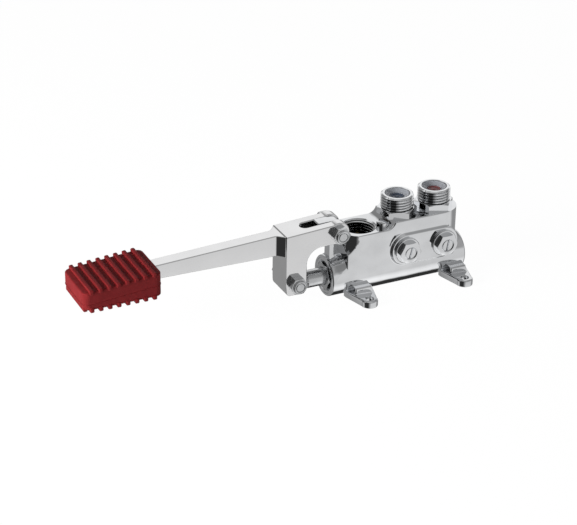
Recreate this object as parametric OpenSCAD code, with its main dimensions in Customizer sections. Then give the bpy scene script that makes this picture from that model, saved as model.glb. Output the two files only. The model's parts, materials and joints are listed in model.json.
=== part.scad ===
/* [Barrel] */
// Outside diameter of the barrel, which is also the width of the block above it
barrel_d = 26.6; // [25.6:0.2:30]
// Length of the barrel
barrel_len = 95; // [93:1:110]
// Rounding of the barrel's front rim
barrel_front_round = 1.2; // [0.6:0.1:1.6]
// Rounding of the barrel's closed rear end
barrel_rear_round = 2; // [1:0.25:6]
// Diameter of the bore that the valve stem works in
bore_d = 15; // [14.4:0.2:15.6]
// Thickness of the barrel's closed rear end
bore_end_wall = 7; // [6:0.5:9]

/* [Outlet] */
// Distance from the barrel's front face to the outlet's axis
outlet_back = 23.8; // [23.6:0.1:24.6]
// Height of the outlet's rim above the floor
outlet_top = 43; // [42:0.5:44]
// Major diameter of the outlet's female pipe thread
outlet_thread_d = 20.96; // [20:0.02:21.4]
// Depth of the outlet's thread
outlet_thread_len = 14; // [10:0.5:15]
// Diameter of the port below the outlet's thread
outlet_port_d = 12; // [9:0.5:14]
// Width of the chamfer at the outlet's mouth
outlet_chamfer = 0.6; // [0.3:0.1:0.8]
// How far the outlet's front wall stands out beyond half the barrel's width
flare_wall = 1.3; // [0.8:0.1:2]
// Radius of the hollow curve that flares the outlet's front wall
flare_r = 12; // [10:0.5:13]
// Height of that curve's foot above the floor
flare_foot = 28.5; // [27.5:0.25:30]
// Distance from the barrel's front face to the neck that swells towards the outlet
neck_back = 2; // [1.5:0.1:2.6]
// Length of the neck
neck_len = 7.5; // [6.5:0.25:8]
// Rise of the neck above the barrel
neck_rise = 2.3; // [1.5:0.1:3]

/* [Inlet block] */
// Distance from the barrel's front face to the cold inlet's axis
cold_back = 50.2; // [50:0.1:51]
// Distance between the cold and hot inlets
inlet_pitch = 26.3; // [26:0.1:27]
// Height of the block's top face above the floor
block_top = 47.5; // [46.5:0.25:49]
// Distance from the cold inlet's axis forward to the foot of the step
step_ahead = 13.4; // [13:0.1:14]
// Radius of the hollow curve at the step
step_r = 6; // [5:0.25:8]
// Distance from the hot inlet back to the middle of the block's round rear end
block_over = 1.6; // [0.5:0.1:2.5]

/* [Inlet nipples] */
// Major diameter of the nipples' male pipe thread
nipple_thread_d = 20.96; // [20:0.02:21.4]
// Height of the nipples' rim above the block
nipple_rise = 13.3; // [12.5:0.1:15]
// Hexagon across its flats
nipple_hex_af = 22; // [21.4:0.1:22.6]
// Height of the hexagon
nipple_hex_h = 4.5; // [4:0.1:5]
// Bore of the nipple
nipple_bore_d = 15.8; // [15.4:0.1:16.2]
// Diameter of the nipple's root inside the block
nipple_root_d = 18.6; // [18:0.1:19.2]
// Depth of the nipple's root inside the block
nipple_root_len = 9; // [8:0.25:10]
// Turn of the cold hexagon
cold_hex_turn = 9; // [0:1:59]
// Turn of the hot hexagon
hot_hex_turn = 18; // [0:1:59]
// Thickness of the nipple's gasket
nipple_gasket_t = 1; // [0.8:0.1:1.2]

/* [Check valves] */
// Depth of the cage's top below the nipple's rim
cage_sunk = 0.3; // [0.2:0.1:0.8]
// Wall of the cage
cage_wall = 1.4; // [1.2:0.1:1.6]
// Diameter of the throat that the poppet closes
throat_d = 9; // [8:0.1:9.4]
// Depth of the conical mouth
mouth_depth = 1.4; // [1:0.1:2]
// Length of the throat
throat_len = 2; // [1.5:0.1:2.4]
// Travel of the poppet
poppet_lift = 1.8; // [1.4:0.1:2]
// Diameter of the poppet's stem
poppet_stem_d = 2.6; // [2:0.1:3]
// Thickness of the poppet's head
poppet_head_t = 1.2; // [1:0.1:1.4]
// Thickness of the spider that guides the poppet
spider_t = 1.4; // [1:0.1:1.6]
// Length of the poppet's spring when it is pressed together
poppet_spring_shut = 1.6; // [1.4:0.1:2]

/* [Stop valves] */
// Height of the stop valves' axes above the floor
stop_z = 27.8; // [27.6:0.1:28.6]
// Radius of the raised pad that carries both stop valves
stop_pad_r = 10.5; // [9.5:0.25:11.5]
// Height of the pad above the block's side
stop_pad_h = 2; // [1.5:0.1:3]
// Diameter of the plug's round flange
stop_flange_d = 17; // [15:0.25:18]
// Thickness of the plug's flange
stop_flange_t = 1.5; // [1:0.1:2]
// Plug's hexagon across its flats
stop_hex_af = 13; // [12:0.1:14]
// Height of the plug's hexagon
stop_hex_h = 4; // [3:0.1:4.5]
// Diameter of the stop valve's chamber
stop_chamber_d = 11; // [10.6:0.1:11.2]
// Diameter of the slotted spindle's head
spindle_d = 7.6; // [7:0.1:8]
// Travel of the stop disc from open to shut
stop_travel = 5; // [4:0.1:5.2]
// Turn of the cold spindle's slot
cold_slot_turn = 15; // [0:1:179]
// Turn of the hot spindle's slot
hot_slot_turn = 10; // [0:1:179]

/* [Feet] */
// Distance from the barrel's front face to the front feet's holes
foot_front_back = 20; // [19:0.25:21]
// Spacing of the floor holes along the barrel
foot_pitch_x = 68; // [67:0.25:69]
// Spacing of the floor holes across the barrel
foot_pitch_y = 48; // [46:0.25:52]
// Diameter of the floor holes
foot_hole_d = 5.3; // [4.5:0.1:6]
// Radius of the foot's round end
foot_end_r = 5.4; // [5:0.1:6.5]
// Thickness of the foot
foot_t = 4.4; // [3.5:0.1:5.5]
// Half width of the foot where it meets the barrel
foot_root_half = 9; // [7:0.25:10]
// Radius of the hollow curve from the barrel's side to the foot
foot_fillet_r = 3; // [2:0.25:3.5]
// Reach of the web behind a foot's pad, from the barrel's axis
web_reach = 16.6; // [16.2:0.1:17.4]
// Height of that web's top above the floor
web_top = 8.4; // [7.6:0.1:9]

/* [Pivot] */
// Distance from the barrel's front face to the lever's pivot
pivot_back = 5; // [4.6:0.1:5.2]
// Height of the pivot above the floor
pivot_z = 45.9; // [45.5:0.1:46.5]
// Distance from the barrel's front face to the ear's front edge
ear_back = 1.9; // [1.6:0.1:2.4]
// Thickness of the body's ear
ear_t = 6.8; // [6:0.1:7]
// Radius of the ear's head round the pivot
ear_r = 6.2; // [5.8:0.1:6.6]
// Reach of the ear's nose ahead of the pivot
ear_nose = 11.6; // [10:0.2:12]
// Radius of the hollow curve at the ear's root
ear_root_r = 6.2; // [5:0.1:6.6]
// Chamfer of the ear's nose
nose_chamfer = 0.6; // [0.3:0.1:1]
// Diameter of both bolts
bolt_d = 6; // [5:0.1:6.2]
// Nuts and bolt heads across their flats
nut_af = 10; // [9.6:0.1:10.4]
// Height of a nut's hexagon
nut_hex_h = 4.6; // [4:0.1:5]
// Height of the round collar on a nut's end
nut_collar_h = 1.4; // [1:0.1:1.8]
// Height of a bolt's head
bolt_head_h = 4; // [3.5:0.1:4.4]
// Wall of the bush in the ear
bush_wall = 1; // [0.8:0.1:1.2]

/* [Lever] */
// Width of the lever's fork head
head_w = 20; // [18:0.25:21]
// Radius of the fork's ends round the pivot
head_boss_r = 7.2; // [7:0.1:7.4]
// How far the fork's round ends stand below the limb
boss_proud = 0.4; // [0.2:0.1:1]
// Reach of the leg's front face ahead of the pivot
head_reach = 35.7; // [35:0.1:37]
// Depth of the leg from front to back
leg_depth = 14.1; // [14:0.1:15]
// Reach of the leg below the roller's axis
leg_foot = 7.8; // [7.2:0.1:8.2]
// Radius of the leg's lower corners
leg_corner_r = 3.5; // [2:0.25:5]
// Height of the head's top edge at the leg
head_top_front = 50.2; // [49.5:0.1:51]
// Height of the head's top edge at the pivot
head_top_pivot = 52.3; // [51.8:0.1:52.8]
// Radius of the hollow corner between limb and leg
head_corner_r = 10; // [8:0.25:11]
// Width of the slot in the fork
slot_w = 7.4; // [7.2:0.05:8]
// Reach of the slot ahead of the pivot in the head's top
slot_reach = 22.1; // [21.9:0.1:24]
// Width of the arm
arm_w = 9.3; // [8:0.1:10]
// Height of the arm at the head
arm_h_head = 14; // [12:0.25:15]
// Height of the arm at the pedal
arm_h_pedal = 8.7; // [8:0.1:9]
// Height of the arm's top edge at the pedal
arm_top_pedal = 46.4; // [46:0.1:46.8]
// Width of the slanting shoulders between arm and head
shoulder_w = 4.6; // [3:0.1:4.8]
// Drop of the roller's axis below the pivot
roller_drop = 28.5; // [28:0.1:29]
// Diameter of the roller
roller_d = 10; // [9:0.1:10.4]

/* [Pedal] */
// Distance from the pivot to the near end of the pedal cover
pedal_reach = 119.5; // [115:0.5:125]
// Length of the pedal cover
pedal_len = 49.5; // [44:0.5:60]
// Width of the pedal cover without its ribs' ends
pedal_w = 35; // [32:0.5:50]
// Height of the cover's top at its far end
pedal_top_far = 44.5; // [43.8:0.1:45.4]
// Height of the cover's top at the lever's end
pedal_top_near = 48.3; // [47.8:0.1:49]
// Height of the cover's underside
pedal_under = 33.4; // [32.8:0.1:34]
// Rounding of the cover's upright corners
pedal_corner_r = 4; // [2:0.25:6]
// Number of ribs on each side of the cover
rib_count = 8; // [5:1:9]
// Spacing of the ribs
rib_pitch = 5.57; // [4.5:0.01:5.8]
// Width of a rib
rib_w = 2.6; // [2:0.1:3]
// Height of a rib above the cover
rib_h = 1.5; // [0.8:0.1:2]
// Overhang of a rib past the cover's long edges
rib_over = 0.8; // [0.3:0.1:1.5]
// Thickness of the lever's plate inside the cover
plate_t = 4; // [3:0.1:4.4]
// Wall of rubber round the plate
cover_wall = 3.2; // [2.5:0.1:4]
// Depth of the mould's parting line below the cover's top
pedal_part = 7.9; // [7:0.1:8.6]
// Lean of the cover's far face below the parting line
pedal_toe = 0.7; // [0.3:0.1:1.2]

/* [Push rod and valve] */
// Diameter of the push rod
rod_d = 11.2; // [10.4:0.1:11.4]
// Diameter of the rod's nose, which enters the fork's slot
nose_d = 6.2; // [5:0.1:6.4]
// Length of the rod's nose
nose_len = 5; // [4:0.1:6]
// Travel of the rod and stem
stroke = 4.8; // [4:0.1:5]
// Diameter of the bonnet's flush disc
bonnet_d = 22.8; // [22:0.1:23.2]
// Depth of the bonnet inside the barrel
bonnet_len = 9; // [8:0.25:10]
// How far the bonnet's face lies inside the barrel's rim
bonnet_sunk = 0.2; // [0:0.1:0.6]
// Wall of packing round the rod
packing_wall = 1.8; // [1.6:0.1:2]
// Gland hexagon across its flats
gland_af = 16; // [15.8:0.1:17]
// Height of the gland's hexagon
gland_h = 3.4; // [2.5:0.1:4]
// Depth of the recess that the gland's hexagon lies in
gland_recess = 2.2; // [1.5:0.1:2.6]
// Outside diameter of the valve stem
stem_d = 9; // [8.6:0.1:9.2]
// Hole along the valve stem
stem_bore_d = 5; // [4.6:0.1:5.4]
// Distance of the cold seat ring ahead of the cold inlet
cold_seat_ahead = 14; // [13:0.25:15]
// Distance of the dividing ring behind the cold inlet
divider_behind = 9; // [8:0.25:9.5]
// Distance of the hot seat ring ahead of the hot inlet
hot_seat_ahead = 10; // [9.5:0.25:10.5]
// Width of a seat ring
seat_len = 4; // [3:0.1:4.5]
// Opening of a seat ring
seat_hole_d = 11.2; // [10.8:0.1:11.4]
// Thickness of a valve disc
disc_t = 3; // [2.5:0.1:3.5]
// Diameter of a valve disc
disc_d = 13.4; // [12.6:0.1:13.6]

/* [Flow screw] */
// Distance of the flow screw ahead of the cold inlet
flow_ahead = 12.8; // [12.6:0.1:13]
// Distance of the flow screw towards the stop valves' side
flow_side = 5.6; // [4:0.1:6]
// Diameter of the flow screw's slotted head
flow_head_d = 7.8; // [6.5:0.1:8.2]
// Height of the flow screw's head
flow_head_h = 3.4; // [2.6:0.1:3.8]
// Diameter of the flow screw's shank
flow_shank_d = 4.6; // [4:0.1:5]
// Length of the flow screw's shank
flow_shank_len = 9; // [7:0.25:10]

/* [Fits] */
// Clearance of threads, washers and pressed pieces that don't move
set_gap = 0.05; // [0.03:0.01:0.1]
// Clearance of turning and sliding fits
run_gap = 0.06; // [0.04:0.01:0.09]
// Gap between faces that come together when the valve works
meet_gap = 0.3; // [0.2:0.05:0.4]

/* [Hidden] */
$fn = 64;
slice = 0.01;
lap = 0.5;
big = 200;
hex_corner = 1 / cos(30);

axis_z = barrel_d / 2;
half_w = barrel_d / 2;
front_x = -(foot_front_back + foot_pitch_x / 2);
rear_x = front_x + barrel_len;
outlet_x = front_x + outlet_back;
cold_x = front_x + cold_back;
hot_x = cold_x + inlet_pitch;
block_in = 0.05;
block_half_w = half_w - block_in;
block_rear_x = hot_x + block_over + half_w;
pivot_x = front_x + pivot_back;
bore_end_x = rear_x - bore_end_wall;

leg_front_x = pivot_x - head_reach;
leg_back_x = leg_front_x + leg_depth;
roller_x = leg_front_x + leg_depth / 2;
roller_z = pivot_z - roller_drop;
limb_under = pivot_z - head_boss_r + boss_proud;
nose_x = roller_x + roller_d / 2 + run_gap;

nipple_top = block_top + nipple_rise;
cage_top = nipple_top - cage_sunk;
throat_top = cage_top - mouth_depth;
throat_under = throat_top - throat_len;
spider_top = throat_under - poppet_head_t - poppet_lift - poppet_spring_shut;
cage_under = spider_top - spider_t;
cage_chamber_r = nipple_bore_d / 2 - cage_wall;
cage_lip = 0.7;
gasket_rim = 0.9;
poppet_tail = 2;
poppet_sunk = 0.4;
poppet_edge = 1;
poppet_wire_r = 0.25;
poppet_coil_gap = 1.2;
poppet_turns = 2.5;

pad_face_y = -(half_w + stop_pad_h);
stop_face_y = pad_face_y - stop_flange_t - stop_hex_h;
stop_seat_y = 2;
stop_seat_d = 7;
stop_plug_in = 6.5;
stop_disc_t = 3;
stop_hub_len = 5.4;
stop_disc_y = stop_seat_y - run_gap - stop_travel - stop_disc_t;
stop_tip_r = 1.9;
spindle_sunk = 0.2;
spindle_slot_w = 1.1;
spindle_slot_depth = 1.4;
stop_port_y = 5.6;
stop_port_d = 5;
inlet_port_d = 8;

cold_seat_x = cold_x - cold_seat_ahead;
divider_x = cold_x + divider_behind;
hot_seat_x = hot_x - hot_seat_ahead;
flange_t = 2;
flange_in = 0.4;
collar_out = 1.6;
stem_way_r = 1.3;
rod_spigot_len = 6;
stem_front_x = front_x + bonnet_len + meet_gap;
stem_tail_d = 6;
tail_room = 1;
stem_tail_x = bore_end_x - stroke - tail_room;
return_wire_r = 0.7;
return_coil_gap = 2.2;
return_turns = 4.5;

flow_x = cold_x - flow_ahead;
flow_floor = outlet_top;
flow_slot_w = 1.3;
flow_slot_depth = 1.2;
flow_slot_turn = 17;
flow_end_room = 1;

pedal_near_x = pivot_x - pedal_reach;
pedal_far_x = pedal_near_x - pedal_len;
pedal_slope = (pedal_top_near - pedal_top_far) / pedal_len;
plate_z = pedal_under + cover_wall;
cover_mid_x = (pedal_near_x + pedal_far_x) / 2;
arm_end_x = pedal_near_x - cover_wall - lap;

nut_end_y = -(head_w / 2 + nut_hex_h + nut_collar_h);
nut_collar_in = 0.8;
bonnet_face_x = front_x + bonnet_sunk;
gland_cup_r = rod_d / 2 + packing_wall;
gland_cup_len = 7.4;
gland_spigot_len = 2.6;
gland_room = 0.5;
gland_seat_x = bonnet_face_x + gland_recess;
gasket_t = 1.2;

// Round bars along each axis, given by their two ends
module x_bar(x0, x1, r, z = axis_z)
    translate([x0, 0, z]) rotate([0, 90, 0]) cylinder(r = r, h = x1 - x0);

module y_bar(x, z, y0, y1, r)
    translate([x, y0, z]) rotate([-90, 0, 0]) cylinder(r = r, h = y1 - y0);

module z_bar(x, y, z0, z1, r)
    translate([x, y, z0]) cylinder(r = r, h = z1 - z0);

module x_ring(x0, x1, r_in, r_out)
    difference() {
        x_bar(x0, x1, r_out);
        x_bar(x0 - 1, x1 + 1, r_in);
    }

// A side outline in x and z, drawn out to a width across the valve
module across(width)
    rotate([90, 0, 0]) linear_extrude(width, center = true) children();

// A rectangle given by two corners
module rect(low, high)
    translate(low) square(high - low);

// A rectangle with round corners
module round_rect(low, high, r) {
    rect(low + [r, 0], high - [r, 0]);
    rect(low + [0, r], high - [0, r]);
    for (x = [low[0] + r, high[0] - r])
        for (y = [low[1] + r, high[1] - r])
            translate([x, y]) circle(r);
}

// Material that fills a square corner up to a hollow curve of radius r, and laps into both walls
module hollow_corner(r)
    difference() {
        rect([-lap, -lap], [r, r]);
        translate([r, r]) circle(r);
    }

// A coil of wire along z, as one tube swept along a helix
module coil(r, wire_r, height, turns, rings = 10, sides = 6) {
    count = round(turns * rings);
    points = [
        for (i = [0 : count])
            for (j = [0 : sides - 1])
                let (
                    turn = 360 * i / rings,
                    side = 360 * j / sides,
                    reach = r + wire_r * cos(side)
                )
                [reach * cos(turn), reach * sin(turn), height * i / count + wire_r * sin(side)]
    ];
    walls = [
        for (i = [0 : count - 1])
            for (j = [0 : sides - 1])
                let (a = i * sides + j, b = i * sides + (j + 1) % sides)
                each [[a, a + sides, b], [b, a + sides, b + sides]]
    ];
    caps = [
        for (j = [1 : sides - 2])
            each [[0, j, j + 1], [count * sides, count * sides + j + 1, count * sides + j]]
    ];
    polyhedron(points, concat(walls, caps));
}

// Body

module barrel_outline() {
    q = barrel_front_round;
    k = barrel_rear_round;
    rect([0, 0], [half_w - q, barrel_len - k]);
    rect([0, q], [half_w, barrel_len - k]);
    rect([0, q], [half_w - k, barrel_len]);
    translate([half_w - q, q]) circle(q);
    translate([half_w - k, barrel_len - k]) circle(k);
}

module barrel()
    translate([front_x, 0, axis_z]) rotate([0, 90, 0]) rotate_extrude() barrel_outline();

module block_side() {
    rect([front_x + barrel_front_round, axis_z], [block_rear_x, outlet_top]);
    difference() {
        rect([cold_x - step_ahead, outlet_top - slice], [block_rear_x, block_top]);
        translate([cold_x - step_ahead, outlet_top + step_r]) circle(step_r);
    }
}

module block_plan() {
    rect([front_x, -block_half_w], [hot_x + block_over, block_half_w]);
    translate([hot_x + block_over, 0]) circle(block_half_w);
}

// Everything outside a hollow curve in the corner of a wall at r and a floor at z
module outside_curve(r, z, curve_r, reach, top) {
    translate([r + curve_r, z + curve_r]) circle(curve_r);
    rect([r + curve_r, z], [reach, top]);
    rect([r, z + curve_r], [reach, top]);
}

// Everything in front of the outlet's flared boss, and round the neck that rises to it
module flare_relief() {
    reach = 4 * half_w;
    neck_in = 0.1;
    intersection() {
        translate([outlet_x, 0, 0]) rotate_extrude()
            outside_curve(half_w + flare_wall, flare_foot, flare_r, reach, big);
        translate([outlet_x - big, -big / 2, 0]) cube(big);
    }
    translate([front_x + neck_back, 0, axis_z]) rotate([0, 90, 0]) rotate_extrude() polygon([
        [half_w - neck_in, -neck_back - lap],
        [half_w - neck_in, 0],
        [half_w + neck_rise, neck_len],
        [reach, neck_len],
        [reach, -neck_back - lap]
    ]);
}

module block()
    difference() {
        intersection() {
            across(barrel_d) block_side();
            linear_extrude(big) block_plan();
        }
        flare_relief();
    }

module ear_side() {
    translate([pivot_x, pivot_z]) circle(ear_r);
    rect([front_x + ear_back, axis_z], [pivot_x + ear_r, pivot_z]);
    polygon([
        [pivot_x - ear_nose, pivot_z],
        [pivot_x - ear_nose, pivot_z + ear_r - nose_chamfer],
        [pivot_x - ear_nose + nose_chamfer, pivot_z + ear_r],
        [pivot_x, pivot_z + ear_r],
        [pivot_x, pivot_z - ear_r],
        [front_x + ear_back, pivot_z - ear_r]
    ]);
}

module ear_root() {
    root_z = axis_z + sqrt(pow(half_w, 2) - pow(ear_t / 2 + ear_root_r, 2)) - lap;
    translate([front_x + ear_back, 0, 0]) rotate([90, 0, 90]) linear_extrude(outlet_back - half_w)
        for (side = [0, 1])
            mirror([side, 0])
                translate([ear_t / 2, root_z]) hollow_corner(ear_root_r);
    translate([front_x + ear_back, -ear_t / 2 - ear_root_r, axis_z])
        cube([outlet_back - half_w, ear_t + 2 * ear_root_r, root_z - axis_z]);
}

module stop_pad()
    rotate([90, 0, 0]) linear_extrude(-pad_face_y) {
        rect([cold_x, stop_z - stop_pad_r], [hot_x, stop_z + stop_pad_r]);
        for (x = [cold_x, hot_x])
            translate([x, stop_z]) circle(stop_pad_r);
    }

module foot() {
    hole_y = foot_pitch_y / 2;
    root_y = sqrt(pow(half_w, 2) - pow(axis_z - foot_t, 2));
    root_in = 3;
    wall_y = sqrt(pow(half_w, 2) - pow(axis_z - web_top - foot_fillet_r, 2)) - lap / 2;
    linear_extrude(foot_t) {
        translate([0, hole_y]) circle(foot_end_r);
        polygon([
            [-foot_root_half, root_y - root_in],
            [foot_root_half, root_y - root_in],
            [foot_root_half, root_y + lap],
            [foot_end_r, hole_y],
            [-foot_end_r, hole_y],
            [-foot_root_half, root_y + lap]
        ]);
    }
    translate([0, wall_y, web_top]) rotate([90, 0, 90])
        linear_extrude(2 * foot_end_r, center = true) hollow_corner(foot_fillet_r);
    translate([-foot_end_r, 0, foot_t - slice]) cube([2 * foot_end_r, web_reach, web_top - foot_t + slice]);
}

module at_feet()
    for (x = [-1, 1])
        for (side = [0, 1])
            mirror([0, side, 0]) translate([x * foot_pitch_x / 2, 0, 0]) children();

module inlet_ways(x) {
    z_bar(x, 0, block_top - nipple_root_len, big, nipple_root_d / 2 + set_gap);
    z_bar(x, 0, block_top - nipple_gasket_t, big, nipple_root_d / 2 + gasket_rim);
    z_bar(x, 0, stop_z, block_top, inlet_port_d / 2);
    y_bar(x, stop_z, -big, stop_seat_y, stop_chamber_d / 2);
    y_bar(x, stop_z, 0, stop_port_y + stop_port_d / 2 + lap, stop_seat_d / 2);
    z_bar(x, stop_port_y, axis_z, stop_z, stop_port_d / 2);
}

module valve_body()
    color("silver") difference() {
        union() {
            barrel();
            block();
            across(ear_t) ear_side();
            ear_root();
            stop_pad();
            at_feet() foot();
        }
        at_feet() translate([0, foot_pitch_y / 2, -1]) cylinder(d = foot_hole_d, h = big);
        x_bar(front_x - 1, front_x + bonnet_len + gasket_t, bonnet_d / 2 + set_gap);
        x_bar(front_x, bore_end_x, bore_d / 2);
        z_bar(outlet_x, 0, outlet_top - outlet_thread_len, big, outlet_thread_d / 2);
        z_bar(outlet_x, 0, axis_z, outlet_top, outlet_port_d / 2);
        translate([outlet_x, 0, outlet_top - outlet_chamfer])
            cylinder(r1 = outlet_thread_d / 2, r2 = outlet_thread_d / 2 + 2 * outlet_chamfer,
                h = 2 * outlet_chamfer);
        for (x = [cold_x, hot_x])
            inlet_ways(x);
        y_bar(pivot_x, pivot_z, -half_w, half_w, bolt_d / 2 + bush_wall + run_gap + set_gap);
        for (side = [-1, 1])
            translate([0, side * (ear_t / 2 + head_w / 2 + meet_gap), 0])
                y_bar(pivot_x, pivot_z, -head_w / 2, head_w / 2, head_boss_r + 2 * meet_gap);
        z_bar(flow_x, -flow_side, flow_floor, big, flow_head_d / 2 + meet_gap);
        z_bar(flow_x, -flow_side, flow_floor - flow_shank_len - flow_end_room, flow_floor + lap,
            flow_shank_d / 2 + run_gap);
    }

// Pieces fixed in the body

module gland_bonnet()
    color("silver") difference() {
        x_bar(bonnet_face_x, front_x + bonnet_len, bonnet_d / 2);
        x_bar(front_x - 1, front_x + bonnet_len + 1, rod_d / 2 + run_gap);
        x_bar(front_x - 1, bonnet_face_x + gland_cup_len, gland_cup_r);
        x_bar(front_x - 1, gland_seat_x, gland_af * hex_corner / 2 + gland_room);
    }

module gland_nut()
    color("gray") difference() {
        union() {
            translate([gland_seat_x - gland_h, 0, axis_z]) rotate([0, 90, 0])
                cylinder(d = gland_af * hex_corner, h = gland_h, $fn = 6);
            x_bar(gland_seat_x - slice, gland_seat_x + gland_spigot_len, gland_cup_r - set_gap);
        }
        x_bar(front_x - big, front_x + big, rod_d / 2 + run_gap);
    }

module gland_packing()
    color("dimgray")
        x_ring(gland_seat_x + gland_spigot_len + set_gap, bonnet_face_x + gland_cup_len - set_gap,
            rod_d / 2 + run_gap, gland_cup_r - set_gap);

module bonnet_gasket()
    color("sienna")
        x_ring(front_x + bonnet_len + set_gap / 2, front_x + bonnet_len + gasket_t - set_gap / 2,
            bore_d / 2 + set_gap, bonnet_d / 2);

module seat_ring(x)
    x_ring(x, x + seat_len, seat_hole_d / 2, bore_d / 2 - set_gap);

module cold_seat()
    color("goldenrod") seat_ring(cold_seat_x);

module hot_seat()
    color("goldenrod") seat_ring(hot_seat_x);

module divider_ring()
    color("goldenrod") x_ring(divider_x, divider_x + seat_len, stem_d / 2 + run_gap, bore_d / 2 - set_gap);

module pivot_bush()
    color("peru") difference() {
        y_bar(pivot_x, pivot_z, -ear_t / 2, ear_t / 2, bolt_d / 2 + run_gap + bush_wall);
        y_bar(pivot_x, pivot_z, -ear_t, ear_t, bolt_d / 2 + run_gap);
    }

module nipple(x, turn) {
    hex_top = block_top + nipple_hex_h;
    root_r = nipple_root_d / 2;
    thread_r = nipple_thread_d / 2;
    lead = 1;
    difference() {
        union() {
            z_bar(x, 0, block_top - nipple_root_len, nipple_top, root_r);
            translate([x, 0, block_top]) rotate(turn + 30)
                cylinder(d = nipple_hex_af * hex_corner, h = nipple_hex_h, $fn = 6);
            z_bar(x, 0, hex_top + lead, nipple_top - lead, thread_r);
            translate([x, 0, nipple_top - lead]) cylinder(r1 = thread_r, r2 = root_r, h = lead);
        }
        z_bar(x, 0, cage_under, big, nipple_bore_d / 2);
        z_bar(x, 0, 0, big, cage_chamber_r);
    }
}

module cold_nipple()
    color("silver") nipple(cold_x, cold_hex_turn);

module hot_nipple()
    color("silver") nipple(hot_x, hot_hex_turn);

module nipple_gasket(x)
    difference() {
        z_bar(x, 0, block_top - nipple_gasket_t + set_gap / 2, block_top - set_gap / 2,
            nipple_root_d / 2 + gasket_rim - set_gap);
        z_bar(x, 0, 0, big, nipple_root_d / 2 + set_gap);
    }

module cold_nipple_gasket()
    color("sienna") nipple_gasket(cold_x);

module hot_nipple_gasket()
    color("sienna") nipple_gasket(hot_x);

module check_cage(x)
    difference() {
        z_bar(x, 0, cage_under, cage_top, nipple_bore_d / 2 - set_gap);
        z_bar(x, 0, 0, throat_under, cage_chamber_r);
        z_bar(x, 0, 0, big, throat_d / 2);
        translate([x, 0, throat_top])
            cylinder(r1 = throat_d / 2, r2 = nipple_bore_d / 2 - cage_lip, h = mouth_depth + slice);
    }

module cold_check_cage()
    color("lightgray") check_cage(cold_x);

module hot_check_cage()
    color("lightgray") check_cage(hot_x);

module check_spider(x) {
    ways = 4;
    way_r = 1.3;
    difference() {
        z_bar(x, 0, cage_under, spider_top, cage_chamber_r - set_gap);
        z_bar(x, 0, 0, big, poppet_stem_d / 2 + run_gap);
        for (i = [0 : ways - 1])
            translate([x, 0, 0]) rotate(360 * i / ways)
                z_bar((poppet_stem_d / 2 + cage_chamber_r) / 2, 0, 0, big, way_r);
    }
}

module cold_check_spider()
    color("white") check_spider(cold_x);

module hot_check_spider()
    color("white") check_spider(hot_x);

module check_poppet(x) {
    head_top = throat_under - set_gap;
    z_bar(x, 0, cage_under - poppet_tail, head_top, poppet_stem_d / 2);
    z_bar(x, 0, head_top - poppet_head_t, head_top, cage_chamber_r - poppet_edge);
    z_bar(x, 0, head_top - slice, throat_top - poppet_sunk, throat_d / 2 - meet_gap);
}

module cold_check_poppet()
    color("steelblue") check_poppet(cold_x);

module hot_check_poppet()
    color("firebrick") check_poppet(hot_x);

module check_spring(x) {
    low = spider_top + poppet_wire_r + set_gap;
    high = throat_under - poppet_head_t - poppet_wire_r - 2 * set_gap;
    translate([x, 0, low])
        coil(poppet_stem_d / 2 + poppet_coil_gap, poppet_wire_r, high - low, poppet_turns);
}

module cold_check_spring()
    color("lightsteelblue") check_spring(cold_x);

module hot_check_spring()
    color("lightsteelblue") check_spring(hot_x);

module stop_plug(x)
    difference() {
        union() {
            y_bar(x, stop_z, pad_face_y - stop_flange_t, pad_face_y, stop_flange_d / 2);
            translate([x, stop_face_y, stop_z]) rotate([-90, 0, 0])
                cylinder(d = stop_hex_af * hex_corner, h = stop_hex_h + slice, $fn = 6);
            y_bar(x, stop_z, pad_face_y - slice, pad_face_y + stop_plug_in, stop_chamber_d / 2 - set_gap);
        }
        y_bar(x, stop_z, -big, big, spindle_d / 2 + run_gap);
    }

module cold_stop_plug()
    color("silver") stop_plug(cold_x);

module hot_stop_plug()
    color("silver") stop_plug(hot_x);

module stop_spindle(x, turn) {
    face_y = stop_face_y + spindle_sunk;
    difference() {
        union() {
            y_bar(x, stop_z, face_y, stop_disc_y - stop_hub_len - meet_gap, spindle_d / 2);
            y_bar(x, stop_z, face_y + 2 * spindle_slot_depth, stop_disc_y + stop_disc_t / 2, stop_tip_r);
        }
        translate([x, face_y, stop_z]) rotate([0, turn, 0])
            cube([spindle_slot_w, 2 * spindle_slot_depth, spindle_d + lap], center = true);
    }
}

module cold_stop_spindle()
    color("silver") stop_spindle(cold_x, cold_slot_turn);

module hot_stop_spindle()
    color("silver") stop_spindle(hot_x, hot_slot_turn);

module stop_disc(x)
    difference() {
        union() {
            y_bar(x, stop_z, stop_disc_y, stop_disc_y + stop_disc_t, stop_chamber_d / 2 - meet_gap);
            y_bar(x, stop_z, stop_disc_y - stop_hub_len, stop_disc_y + slice, spindle_d / 2 - meet_gap);
        }
        y_bar(x, stop_z, -big, stop_disc_y + stop_disc_t / 2 + meet_gap, stop_tip_r + run_gap);
    }

module cold_stop_disc()
    color("dimgray") stop_disc(cold_x);

module hot_stop_disc()
    color("dimgray") stop_disc(hot_x);

module flow_screw()
    color("silver") difference() {
        union() {
            z_bar(flow_x, -flow_side, flow_floor + set_gap, flow_floor + flow_head_h, flow_head_d / 2);
            z_bar(flow_x, -flow_side, flow_floor - flow_shank_len, flow_floor + lap, flow_shank_d / 2);
        }
        translate([flow_x, -flow_side, flow_floor + flow_head_h]) rotate(flow_slot_turn)
            cube([flow_slot_w, flow_head_d + lap, 2 * flow_slot_depth], center = true);
    }

// Lever and pedal

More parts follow.
